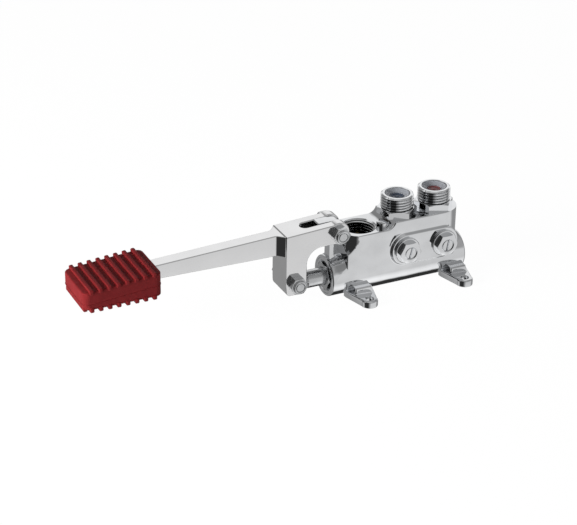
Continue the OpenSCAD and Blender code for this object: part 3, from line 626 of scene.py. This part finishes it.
class TAPVALVE_OT_finishes(bpy.types.Operator):
    """Makes the finishes that the pieces share"""

    bl_idname = "tap_valve.finishes"
    bl_label = "Make finishes"

    def execute(self, context):
        tone = finish()
        grain, lathe, thread = grain_group(), lathe_group(), thread_group()
        # The outlet's painted groove shade lies at the larger radius, in the grooves of its female thread
        outlet = {"Axis X": OUTLET_X * MM, "Groove": 10.4 * MM, "Crest": 9.5 * MM, "Rim": 42 * MM}
        brass, seal = {"Bright": 0.35, "Dull": 0.5}, {"Bright": 0.4, "Dull": 0.6}
        plastic, fibre = {"Bright": 0.25, "Dull": 0.4}, {"Grain Scale": 900.0, "Dull": 0.9}
        # Name, effect, its values, colour, how dark its shade goes, metallic, bump, bump's height, specular
        for row in (
            ("polished_chrome", polish_group(), {}, tone.chrome, 0.8, 1.0, 1.0, 0.6),
            # The lever plate darkens the fork's slot with painted shade
            ("lever_plate", fork_group(), {}, tone.lever_chrome, 0.12, 1.0, 0.12, 0.2),
            # The thread plates darken their grooves with painted shade
            ("cold_thread_plate", thread, self.inlet("cold"), tone.chrome, 0.3, 1.0, 0.1, 0.02),
            ("hot_thread_plate", thread, self.inlet("hot"), tone.chrome, 0.3, 1.0, 0.1, 0.02),
            ("outlet_thread_plate", thread, outlet, tone.chrome, 0.1, 1.0, 0.1, 0.02),
            ("bright_steel", lathe, {}, tone.steel, 0.85, 1.0, 0.1, 0.02),
            ("turned_brass", lathe, brass, tone.brass, 0.8, 1.0, 0.15, 0.02),
            ("ribbed_rubber", grain, {}, tone.pedal, 0.82, 0.0, 0.35, 0.12, 0.2),
            ("black_seal", grain, seal, tone.seal, 0.8, 0.0, 0.2, 0.05),
            ("pressed_fibre", grain, fibre, tone.fibre, 0.7, 0.0, 0.3, 0.08, 0.3),
            ("cage_plastic", grain, plastic, tone.grey_plastic, 0.9, 0.0, 0.1, 0.005),
            ("cold_plastic", grain, plastic, tone.blue_plastic, 0.9, 0.0, 0.1, 0.005),
            ("hot_plastic", grain, plastic, tone.red_plastic, 0.9, 0.0, 0.1, 0.005),
        ):
            surface(*row)
        return {"FINISHED"}

    @staticmethod
    def inlet(name):
        """Where an inlet's thread stands, and where its plain rim begins."""
        low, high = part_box(name + "_nipple")
        return {"Axis X": (low.x + high.x) / 2, "Rim": high.z - 1.3 * MM}


class TAPVALVE_OT_cast_body(bpy.types.Operator):
    """Rounds the edges of the cast body and plates it"""

    bl_idname = "tap_valve.cast_body"
    bl_label = "Cast body"

    def execute(self, context):
        body = softened("valve_body", "body_casting", sizes().foot_round, self.width_at, self.trim_webs)
        settle(body, "polished_chrome", "chrome", "body", "valve_body")
        return {"FINISHED"}

    @staticmethod
    def width_at(point):
        """Rounds the feet, finely at their soles and bolt holes, the near top rim and the stop valves' pad."""
        size = sizes()
        x, y, z = point / MM
        side = abs(y)
        on_foot = z < 8.6 and side > 14.5
        if on_foot:
            at_hole = math.hypot(abs(x) - BOLT_X, side - BOLT_Y) < 3
            return size.body_edge if z < 1 or at_hole else size.foot_round
        on_rim = z > 46 and y < -12 and -12 < x < 23
        on_pad = y < -13 and z > 16 and math.hypot(x - STOP_X, z - STOP_Z) > 7
        return size.body_round if on_rim or on_pad else 0

    @staticmethod
    def trim_webs(body):
        """Leaves the barrel round down to the top of each foot's web."""
        room = box("web_room", (-42 * MM, -17.5 * MM, 8.35 * MM), (42 * MM, 17.5 * MM, 11.7 * MM))
        bar = plain_bar(BARREL_R + 0.02, -60, 60)
        barrel = turned("barrel_room", bar, (0, 0, BARREL_R * MM), (0, math.radians(90), 0), 2 * ROUND_STEPS)
        boolean(room, barrel, "DIFFERENCE")
        boolean(body, room, "DIFFERENCE")


class TAPVALVE_OT_lever_casting(bpy.types.Operator):
    """Rounds the edges of the forked lever and plates it"""

    bl_idname = "tap_valve.lever_casting"
    bl_label = "Forked lever"

    def execute(self, context):
        edge = sizes().lever_edge
        lever = softened("lever", "lever_casting", edge, lambda point: edge)
        settle(lever, "lever_plate", "lever_chrome", "lever", "lever")
        return {"FINISHED"}


class TAPVALVE_OT_pedal(bpy.types.Operator):
    """Moulds the ribbed rubber cover of the pedal"""

    bl_idname = "tap_valve.pedal"
    bl_label = "Pedal cover"

    def execute(self, context):
        size = sizes()
        low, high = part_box("pedal_cover")
        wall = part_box("lever")[0].x - low.x
        rib_over = 0.8 * MM
        half = high.y - rib_over
        under = low.z + size.rib_height
        top_far, top_near = 44.5 * MM, 48.3 * MM
        slope = (top_near - top_far) / (high.x - low.x)

        part = Vector((low.x, 0, top_far - size.pedal_part))
        across = Vector((-slope, 0, 1)).normalized()
        cover = box("pedal_rubber", (low.x + size.seam_rise, -half, under), (high.x - size.seam_rise, half, top_far))
        far = low.x + size.pedal_corner
        self.move_points(cover, (0, 0, top_near - top_far), lambda p: p.z > under + MM and p.x > far)
        self.split(part, across)
        self.move_points(cover, (size.pedal_toe, 0, 0), lambda p: p.z < under + JOIN and p.x < far)
        self.round_uprights(cover, size.pedal_corner)
        bevel(cover, size.pedal_edge)
        self.seam(cover, part, across, size.seam_rise)

        rib_length = 2 * (half + rib_over)
        mid = (low.x + high.x) / 2
        for index in range(size.rib_count):
            x = mid + (index - (size.rib_count - 1) / 2) * size.rib_pitch
            self.rib(cover, rib_length, (x, 0, top_far + (x - low.x) * slope), -math.atan(slope))
            self.rib(cover, rib_length, (x, 0, under), 0)
        lip = low.x + size.pedal_toe + size.rib_width / 2
        self.rib(cover, 2 * half - size.pedal_corner, (lip, 0, under), 0)

        gap, plate_thick = 0.05 * MM, 4 * MM
        plate = box(
            "plate_room",
            (low.x + wall - gap, -half + wall - gap, under + wall - gap),
            (high.x - wall + gap, half - wall + gap, under + wall + plate_thick + gap),
        )
        boolean(cover, plate, "DIFFERENCE")
        arm_half, arm_low, arm_high = 4.7 * MM, 37.4 * MM, 46.9 * MM
        arm = box("arm_room", (high.x - wall - 0.55 * MM, -arm_half, arm_low), (high.x + MM, arm_half, arm_high))
        boolean(cover, arm, "DIFFERENCE")
        settle(cover, "ribbed_rubber", "pedal_rubber", "lever", "pedal_cover", degrees=40)
        return {"FINISHED"}

    @staticmethod
    def move_points(obj, by, wanted):
        """Moves the points that a test accepts, and stays in edit mode with all of the mesh picked."""
        bpy.ops.object.mode_set(mode="EDIT")
        bpy.ops.mesh.select_mode(type="VERT")
        bpy.ops.mesh.select_all(action="DESELECT")
        bpy.ops.object.mode_set(mode="OBJECT")
        for vertex in obj.data.vertices:
            vertex.select = wanted(vertex.co)
        bpy.ops.object.mode_set(mode="EDIT")
        bpy.ops.transform.translate(value=by)
        bpy.ops.mesh.select_all(action="SELECT")

    @staticmethod
    def split(point, across):
        """Draws a line round the whole piece where a plane meets it, in edit mode."""
        bpy.ops.mesh.select_all(action="SELECT")
        bpy.ops.mesh.bisect(plane_co=point, plane_no=across, threshold=CUT)

    @staticmethod
    def round_uprights(obj, radius):
        """Rounds the four upright corners."""
        bpy.ops.mesh.select_mode(type="EDGE")
        bpy.ops.mesh.select_all(action="DESELECT")
        bpy.ops.object.mode_set(mode="OBJECT")
        points = obj.data.vertices
        for edge in obj.data.edges:
            step = points[edge.vertices[0]].co - points[edge.vertices[1]].co
            edge.select = abs(step.y) < JOIN and abs(step.x) < MM
        bpy.ops.object.mode_set(mode="EDIT")
        bpy.ops.mesh.bevel(offset=radius, segments=6, affect="EDGES")
        bpy.ops.object.mode_set(mode="OBJECT")

    @classmethod
    def seam(cls, obj, point, across, rise):
        """Raises a narrow seam on the walls along a plane."""
        half = 0.25 * MM
        pick(obj)
        bpy.ops.object.mode_set(mode="EDIT")
        for side in (-half, half):
            cls.split(point + across * side, across)
        bpy.ops.mesh.select_mode(type="FACE")
        bpy.ops.mesh.select_all(action="DESELECT")
        bpy.ops.object.mode_set(mode="OBJECT")
        for face in obj.data.polygons:
            face.select = abs((face.center - point).dot(across)) < half and abs(face.normal.z) < 0.3
        bpy.ops.object.mode_set(mode="EDIT")
        bpy.ops.mesh.extrude_region_shrink_fatten(TRANSFORM_OT_shrink_fatten={"value": rise})
        bpy.ops.object.mode_set(mode="OBJECT")

    @staticmethod
    def rib(obj, reach, at, lean):
        """Adds one rib across a piece."""
        size = sizes()
        corner = Vector((size.rib_width / 2, reach / 2, size.rib_height))
        rib = box("rib", -corner, corner)
        bevel(rib, 0.7 * MM)
        place(rib, at, (0, lean, 0))
        boolean(obj, rib, "UNION")


class TAPVALVE_OT_nipples(bpy.types.Operator):
    """Cuts the threaded inlet nipples with their hexagons"""

    bl_idname = "tap_valve.nipples"
    bl_label = "Inlet nipples"

    def execute(self, context):
        size = sizes()
        crest = 10.48
        root = crest - size.thread_depth / MM
        core = root - 0.05
        hex_low, hex_high = 47.5, 52
        for name, turn in (("cold", 9), ("hot", 18)):
            low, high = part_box(name + "_nipple")
            foot, top = low.z / MM, high.z / MM
            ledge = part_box(name + "_check_cage")[0].z / MM
            part = hexagon(name + "_nipple_threaded", flats=22, height=hex_high - hex_low)
            place(part, (0, 0, hex_low * MM), (0, 0, math.radians(turn)))
            thread = threaded_bar(name + "_thread", crest, root, size.thread_pitch / MM, hex_high + 0.5, top)
            lead = turned(
                name + "_lead",
                [(0, 0), (crest + 1, 0), (crest + 1, top - 1.6), (root - 0.1, top + 0.1), (0, top + 0.1)],
            )
            boolean(thread, lead, "INTERSECT")
            neck = turned(
                name + "_neck",
                [(0, foot), (9, foot), (9.3, foot + 0.4), (core, hex_low), (core, hex_high + 1), (0, hex_high + 1)],
            )
            boolean(part, neck, "UNION")
            boolean(part, thread, "UNION")
            bore = turned(
                name + "_bore",
                [(0, foot - 1), (6.5, foot - 1), (6.5, ledge), (7.9, ledge), (7.9, top - 0.2), (8.2, top + 0.1),
                 (0, top + 0.1)],
            )
            boolean(part, bore, "DIFFERENCE")
            place(part, ((low.x + high.x) / 2, 0, 0))
            settle(part, name + "_thread_plate", "chrome", "body", name + "_nipple")
        return {"FINISHED"}


class TAPVALVE_OT_check_valves(bpy.types.Operator):
    """Turns the plastic check valves that show in the inlets' mouths"""

    bl_idname = "tap_valve.check_valves"
    bl_label = "Check valves"

    def execute(self, context):
        for name, slot in (("cold", "blue_plastic"), ("hot", "red_plastic")):
            low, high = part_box(name + "_check_cage")
            middle = ((low.x + high.x) / 2, 0, 0)
            foot, top = low.z / MM, high.z / MM
            mouth = top - 1.4
            under = mouth - 2
            cage = turned(
                name + "_cage_moulding",
                [(4.5, under), (6.5, under), (6.5, foot), (7.85, foot), (7.85, top - 0.3), (7.6, top), (7.2, top),
                 (6.9, top - 0.25), (4.7, mouth), (4.5, mouth - 0.3), (4.5, under)],
                middle,
            )
            settle(cage, "cage_plastic", "grey_plastic", "body", name + "_check_cage")

            low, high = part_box(name + "_check_poppet")
            foot, top = low.z / MM, high.z / MM
            head = under - 0.05
            poppet = turned(
                name + "_poppet_moulding",
                [(0, foot), (1.1, foot), (1.3, foot + 0.2), (1.3, head - 1.2), (5.5, head - 1.2), (5.5, head),
                 (4.2, head), (4.2, top - 0.4), (3.9, top - 0.1), (3.3, top), (3.1, top - 0.5), (1.2, top - 0.5),
                 (0.9, top - 0.15), (0, top - 0.1)],
                middle,
            )
            settle(poppet, name + "_plastic", slot, name + "_poppet", name + "_check_poppet")
        return {"FINISHED"}


class TAPVALVE_OT_outlet_thread(bpy.types.Operator):
    """Cuts the female thread in the outlet"""

    bl_idname = "tap_valve.outlet_thread"
    bl_label = "Outlet thread"

    def execute(self, context):
        size = sizes()
        wall = 10.46
        root = wall - size.thread_depth / MM
        inner = root - 0.02
        low, high = 29.1, 42.3
        ring = turned(
            "outlet_thread",
            [(inner, low), (wall, low), (wall, high), (wall - 0.15, high), (inner, high - 0.8), (inner, low)],
        )
        bar = threaded_bar("outlet_tap", wall - 0.03, root, size.thread_pitch / MM, low - 1, high + 1)
        boolean(ring, bar, "DIFFERENCE")
        place(ring, (OUTLET_X * MM, 0, 0))
        settle(ring, "outlet_thread_plate", "chrome", "body")
        return {"FINISHED"}


class TAPVALVE_OT_cross_bolts(bpy.types.Operator):
    """Makes the two cross bolts and their self-locking nuts"""

    bl_idname = "tap_valve.cross_bolts"
    bl_label = "Cross bolts"

    def execute(self, context):
        flats, bore, head, washer_thick = 10, 3.05, 4, 0.2
        point_up = (0, 0, math.radians(30))
        for name in ("pivot", "roller"):
            low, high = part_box(name + "_nut")
            x, z = (low.x + high.x) / 2, (low.z + high.z) / 2
            height = (high.y - low.y) / MM
            nut = hexagon(name + "_locknut", flats, height=4.6, both=True)
            collar = turned(
                name + "_collar",
                [(2, 4), (4.45, 4), (4.45, 5.1), (4.3, 5.6), (3.95, 5.9), (3.6, height), (3.35, 5.9), (3.3, 5.6),
                 (2, 5.5), (2, 4)],
            )
            boolean(nut, collar, "UNION")
            hole = turned(name + "_hole", plain_bar(bore, -1, height + 1))
            boolean(nut, hole, "DIFFERENCE")
            place(nut, turn=point_up)
            place(nut, (x, high.y, z), TOWARD)
            settle(nut, "bright_steel", "steel", "lever", name + "_nut")

            low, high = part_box(name + "_bolt")
            neck = high.y / MM - head
            tip = low.y / MM - neck
            bolt = hexagon(name + "_hexbolt", flats, head - washer_thick)
            washer = turned(name + "_washer", plain_bar(4.6, -washer_thick, 0.1))
            boolean(bolt, washer, "UNION")
            shank = turned(name + "_shank", [(0, tip), (2.5, tip), (3, tip + 0.45), (3, 0), (0, 0)])
            boolean(bolt, shank, "UNION")
            place(bolt, turn=point_up)
            place(bolt, (x, (neck + washer_thick) * MM, z), AWAY)
            settle(bolt, "bright_steel", "steel", "lever", name + "_bolt")
        return {"FINISHED"}


class TAPVALVE_OT_stop_valves(bpy.types.Operator):
    """Makes the stop valves' hexagon plugs and slotted spindles"""

    bl_idname = "tap_valve.stop_valves"
    bl_label = "Stop valves"

    def execute(self, context):
        rise, rim = 4, 1.5
        top = rim + rise
        for name, turn in (("cold", 15), ("hot", 10)):
            low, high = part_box(name + "_stop_plug")
            x, z = (low.x + high.x) / 2, (low.z + high.z) / 2
            depth = (high.y - low.y) / MM - top
            plug = hexagon(name + "_stop_gland", flats=13, height=rise)
            place(plug, (0, 0, rim * MM), (0, 0, math.radians(30)))
            flange = turned(
                name + "_flange",
                [(0, -depth), (5.2, -depth), (5.45, 0.3 - depth), (5.45, 0), (8.2, 0), (8.5, 0.3), (8.5, rim - 0.55),
                 (8.1, rim - 0.1), (7.7, rim), (0, rim)],
            )
            boolean(plug, flange, "UNION")
            bore = turned(
                name + "_plug_bore",
                [(0, -depth - 1), (3.86, -depth - 1), (3.86, top - 0.6), (4.4, top + 0.05), (0, top + 0.05)],
            )
            boolean(plug, bore, "DIFFERENCE")
            place(plug, (x, low.y + top * MM, z), TOWARD)
            settle(plug, "polished_chrome", "chrome", "body", name + "_stop_plug")

            low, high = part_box(name + "_stop_spindle")
            long = (high.y - low.y) / MM
            shoulder = long - 7.2
            spindle = turned(
                name + "_stop_screw",
                [(0, -long), (1.6, -long), (1.9, 0.3 - long), (1.9, -shoulder), (3.8, -shoulder), (3.8, -0.45),
                 (3.4, 0), (0, 0)],
            )
            cut_slot(spindle, 0.68, 1.6)
            place(spindle, turn=(0, 0, math.radians(-turn)))
            place(spindle, (x, low.y, z), TOWARD)
            settle(spindle, "polished_chrome", "chrome", name + "_spindle", name + "_stop_spindle")
        return {"FINISHED"}


class TAPVALVE_OT_gland(bpy.types.Operator):
    """Turns the bonnet, gland nut and push rod at the barrel's front"""

    bl_idname = "tap_valve.gland"
    bl_label = "Gland and push rod"

    def execute(self, context):
        bore, cup, recess = 5.66, 7.4, 9.74
        low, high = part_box("gland_bonnet")
        axis = (low.z + high.z) / 2
        depth = (high.x - low.x) / MM
        bonnet = turned(
            "bonnet_ring",
            [(bore, -depth), (11.2, -depth), (11.4, 0.2 - depth), (11.4, -0.3), (11.1, 0), (10.1, 0),
             (recess, -0.35), (recess, -2.2), (cup, -2.2), (cup, -7.4), (bore, -7.4), (bore, -depth)],
            (low.x, 0, axis),
            FORWARD,
        )
        settle(bonnet, "polished_chrome", "chrome", "body", "gland_bonnet")

        low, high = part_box("gland_nut")
        rise = 3.4
        base = (low.x - high.x) / MM + rise
        nut = hexagon("gland_hexnut", flats=16, height=rise)
        spigot = turned("gland_spigot", plain_bar(cup - 0.05, base, 0.01))
        boolean(nut, spigot, "UNION")
        hole = turned(
            "gland_bore",
            [(0, -4), (bore, -4), (bore, rise - 0.4), (bore + 0.5, rise + 0.1), (0, rise + 0.1)],
        )
        boolean(nut, hole, "DIFFERENCE")
        place(nut, (low.x + rise * MM, 0, axis), FORWARD)
        settle(nut, "bright_steel", "steel", "body", "gland_nut")

        low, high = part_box("push_rod")
        long = (high.x - low.x) / MM
        nose = 5
        rod = turned(
            "polished_rod",
            [(0, -long), (2.3, -long), (2.45, 0.2 - long), (2.45, 6 - long), (5.6, 6 - long), (5.6, -nose - 0.8),
             (4.8, -nose), (3.1, -nose), (3.1, -0.5), (2.6, 0), (0, 0)],
            (low.x, 0, axis),
            FORWARD,
        )
        settle(rod, "bright_steel", "steel", "rod", "push_rod")
        return {"FINISHED"}


class TAPVALVE_OT_flow_screw(bpy.types.Operator):
    """Turns the slotted flow screw"""

    bl_idname = "tap_valve.flow_screw"
    bl_label = "Flow screw"

    def execute(self, context):
        low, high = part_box("flow_screw")
        long = (high.z - low.z) / MM
        head = 3.35
        screw = turned(
            "flow_slotscrew",
            [(0, -long), (2, -long), (2.3, 0.3 - long), (2.3, -head), (3.9, -head), (3.9, -0.65), (3.75, -0.35),
             (3.4, -0.18), (2.4, -0.06), (1.2, -0.01), (0, 0)],
        )
        cut_slot(screw, 0.65, 1.2)
        place(screw, ((low.x + high.x) / 2, (low.y + high.y) / 2, high.z), (0, 0, math.radians(17)))
        settle(screw, "polished_chrome", "chrome", "flow_screw", "flow_screw")
        return {"FINISHED"}


class TAPVALVE_OT_inner_pieces(bpy.types.Operator):
    """Gives the pieces inside the valve their finishes, and makes steel copies of the springs in their place"""

    bl_idname = "tap_valve.inner_pieces"
    bl_label = "Inner pieces"

    def execute(self, context):
        finishes = {
            "bright_steel": ("roller",),
            "turned_brass": ("valve_stem", "cold_seat", "hot_seat", "divider_ring", "pivot_bush"),
            "black_seal": ("gland_packing", "cold_disc", "hot_disc", "cold_stop_disc", "hot_stop_disc"),
            "pressed_fibre": ("bonnet_gasket", "cold_nipple_gasket", "hot_nipple_gasket"),
            "cage_plastic": ("cold_check_spider", "hot_check_spider"),
        }
        for material, nodes in finishes.items():
            for node in nodes:
                dress(frame["nodes"][node], material)

        for node, joint, axis, keep in (
            ("return_spring", "rod_slide", (1, 0, 0), 0.595),
            ("cold_check_spring", "cold_check_open", (0, 0, 1), 0.43),
            ("hot_check_spring", "hot_check_open", (0, 0, 1), 0.43),
        ):
            coil = copied(node, node + "_coil")
            settle(coil, "bright_steel", "steel", "body", node, degrees=None)
            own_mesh(coil)
        return {"FINISHED"}


class TAPVALVE_OT_stage(bpy.types.Operator):
    """Sets the floor, the studio light and the camera"""

    bl_idname = "tap_valve.stage"
    bl_label = "Studio stage"

    def execute(self, context):
        self.floor()
        self.surround()
        target = Vector(stage().target)
        self.lamp("key_light", (-1.05, -0.15, 0.24), target, 0.5, stage().key)
        self.lamp("top_light", (-0.1, 0.1, 1.1), target, 1.0, stage().top)
        self.camera(target)
        context.scene.view_settings.view_transform = "Standard"
        return {"FINISHED"}

    @staticmethod
    def floor():
        """A pale floor that the camera sees as white with a soft shadow, and that metal does not mirror."""
        clear()
        bpy.ops.mesh.primitive_plane_add(size=8)
        floor = named("studio_floor")
        material = bpy.data.materials.new("studio_floor")
        material.use_nodes = True
        tree = material.node_tree
        shader = tree.nodes["Principled BSDF"]
        shader.inputs["Base Color"].default_value = (*stage().floor, 1)
        shader.inputs["Roughness"].default_value = 0.9
        shader.inputs["Specular IOR Level"].default_value = 0.1
        glow = add_node(tree, "ShaderNodeEmission")
        glow.inputs["Color"].default_value = (1, 1, 1, 1)
        glow.inputs["Strength"].default_value = FLOOR_GLOW
        from_camera, from_metal = ray_kinds(tree)
        white = calc(tree, "MULTIPLY", from_camera, FLOOR_WHITE)
        seen = mix_shaders(tree, white, shader.outputs["BSDF"], glow.outputs["Emission"])
        clear_view = add_node(tree, "ShaderNodeBsdfTransparent").outputs["BSDF"]
        tree.links.new(
            mix_shaders(tree, from_metal, seen, clear_view), tree.nodes["Material Output"].inputs["Surface"]
        )
        dress(floor, material.name)

    @staticmethod
    def surround():
        """An even white surround, with a studio's bright and dark panels in what polished metal mirrors."""
        world = bpy.data.worlds.new("studio")
        bpy.context.scene.world = world
        world.use_nodes = True
        tree = world.node_tree
        tree.nodes.clear()
        parts = split_vector(tree, add_node(tree, "ShaderNodeTexCoord").outputs["Generated"])
        height = calc(tree, "ARCSINE", parts["Z"])
        flat = calc(tree, "COSINE", height)

        def panel(level, azimuth, half, lowest, highest, edge, value):
            """Lays a soft-edged panel of one brightness over the level, between two azimuths and two heights."""
            along = math.radians(azimuth)
            dot = calc(
                tree, "ADD",
                calc(tree, "MULTIPLY", parts["X"], math.cos(along)),
                calc(tree, "MULTIPLY", parts["Y"], math.sin(along)),
            )
            turn = calc(tree, "ARCCOSINE", calc(tree, "DIVIDE", dot, calc(tree, "MAXIMUM", flat, 0.001)))
            half, lowest, highest, edge = (math.radians(size) for size in (half, lowest, highest, edge))
            mask = map_range(tree, turn, half - edge, half + edge, 1.0, 0.0)
            for low, high in ((lowest - edge, lowest + edge), (highest + edge, highest - edge)):
                mask = calc(tree, "MULTIPLY", mask, map_range(tree, height, low, high, 0.0, 1.0))
            kept = calc(tree, "MULTIPLY", level, calc(tree, "SUBTRACT", 1.0, mask))
            return calc(tree, "ADD", kept, calc(tree, "MULTIPLY", mask, value))

        def light(strength):
            """White light of one strength, or of one that changes with the direction."""
            node = add_node(tree, "ShaderNodeBackground")
            node.inputs["Color"].default_value = (1, 1, 1, 1)
            feed(tree, node.inputs["Strength"], strength)
            return node.outputs[0]

        level = map_range(tree, parts["Z"], -0.7, 0.9, 0.3, 0.22)
        for setting in PANELS:
            level = panel(level, *setting)
        fill = stage().fill
        falling = map_range(tree, parts["Z"], -0.1, 0.6, fill, 0.1 * fill)
        from_camera, from_metal = ray_kinds(tree)
        unseen = mix_shaders(tree, from_metal, light(falling), light(level))
        out = add_node(tree, "ShaderNodeOutputWorld")
        tree.links.new(mix_shaders(tree, from_camera, unseen, light(1.0)), out.inputs["Surface"])

    @staticmethod
    def lamp(name, at, target, size, power):
        """A square soft light, aimed at the target and left out of what metal mirrors."""
        clear()
        bpy.ops.object.light_add(type="AREA", location=at)
        lamp = named(name)
        lamp.data.shape = "SQUARE"
        lamp.data.size = size
        lamp.data.energy = power
        lamp.rotation_euler = (target - Vector(at)).to_track_quat("-Z", "Y").to_euler()
        lamp.visible_glossy = False

    @staticmethod
    def camera(target):
        """The camera, turned round its target and rolled."""
        setup = stage()
        flat = math.cos(setup.elevation)
        back = Vector(
            (math.sin(setup.azimuth) * flat, -math.cos(setup.azimuth) * flat, math.sin(setup.elevation))
        )
        right = Vector((0, 0, 1)).cross(back).normalized()
        up = back.cross(right)
        tilt, hold = math.sin(setup.roll), math.cos(setup.roll)
        axes = (right * hold + up * tilt, up * hold - right * tilt, back)
        clear()
        bpy.ops.object.camera_add(location=target + back * setup.distance)
        camera = named("photo_camera")
        camera.rotation_euler = Matrix(axes).transposed().to_euler()
        camera.data.sensor_fit = "HORIZONTAL"
        camera.data.sensor_width = 36
        camera.data.lens = setup.lens
        camera.data.clip_start = 0.01
        bpy.context.scene.camera = camera


class TAPVALVE_PT_panel(bpy.types.Panel):
    """Lists the valve's steps, sizes and finishes"""

    bl_idname = "TAPVALVE_PT_panel"
    bl_label = "Tap valve"
    bl_space_type = "VIEW_3D"
    bl_region_type = "UI"
    bl_category = "Tap valve"

    def draw(self, context):
        layout = self.layout
        for step in STEPS:
            layout.operator(step.bl_idname)
        for group in (sizes(), finish(), stage()):
            part = layout.box()
            for key in group.__annotations__:
                part.prop(group, key)


GROUPS = (ValveSizes, ValveFinish, ValveStage)
STEPS = (
    TAPVALVE_OT_finishes,
    TAPVALVE_OT_cast_body,
    TAPVALVE_OT_lever_casting,
    TAPVALVE_OT_pedal,
    TAPVALVE_OT_nipples,
    TAPVALVE_OT_check_valves,
    TAPVALVE_OT_outlet_thread,
    TAPVALVE_OT_cross_bolts,
    TAPVALVE_OT_stop_valves,
    TAPVALVE_OT_gland,
    TAPVALVE_OT_flow_screw,
    TAPVALVE_OT_inner_pieces,
    TAPVALVE_OT_stage,
)


def register():
    for cls in (*GROUPS, *STEPS, TAPVALVE_PT_panel):
        bpy.utils.register_class(cls)
    bpy.types.Scene.tap_valve_sizes = PointerProperty(type=ValveSizes)
    bpy.types.Scene.tap_valve_finish = PointerProperty(type=ValveFinish)
    bpy.types.Scene.tap_valve_stage = PointerProperty(type=ValveStage)


def unregister():
    del bpy.types.Scene.tap_valve_stage
    del bpy.types.Scene.tap_valve_finish
    del bpy.types.Scene.tap_valve_sizes
    for cls in reversed((*GROUPS, *STEPS, TAPVALVE_PT_panel)):
        bpy.utils.unregister_class(cls)


def main():
    register()
    for step in STEPS:
        space, call = step.bl_idname.split(".")
        getattr(getattr(bpy.ops, space), call)()
    clear()


if __name__ == "__main__":
    main()
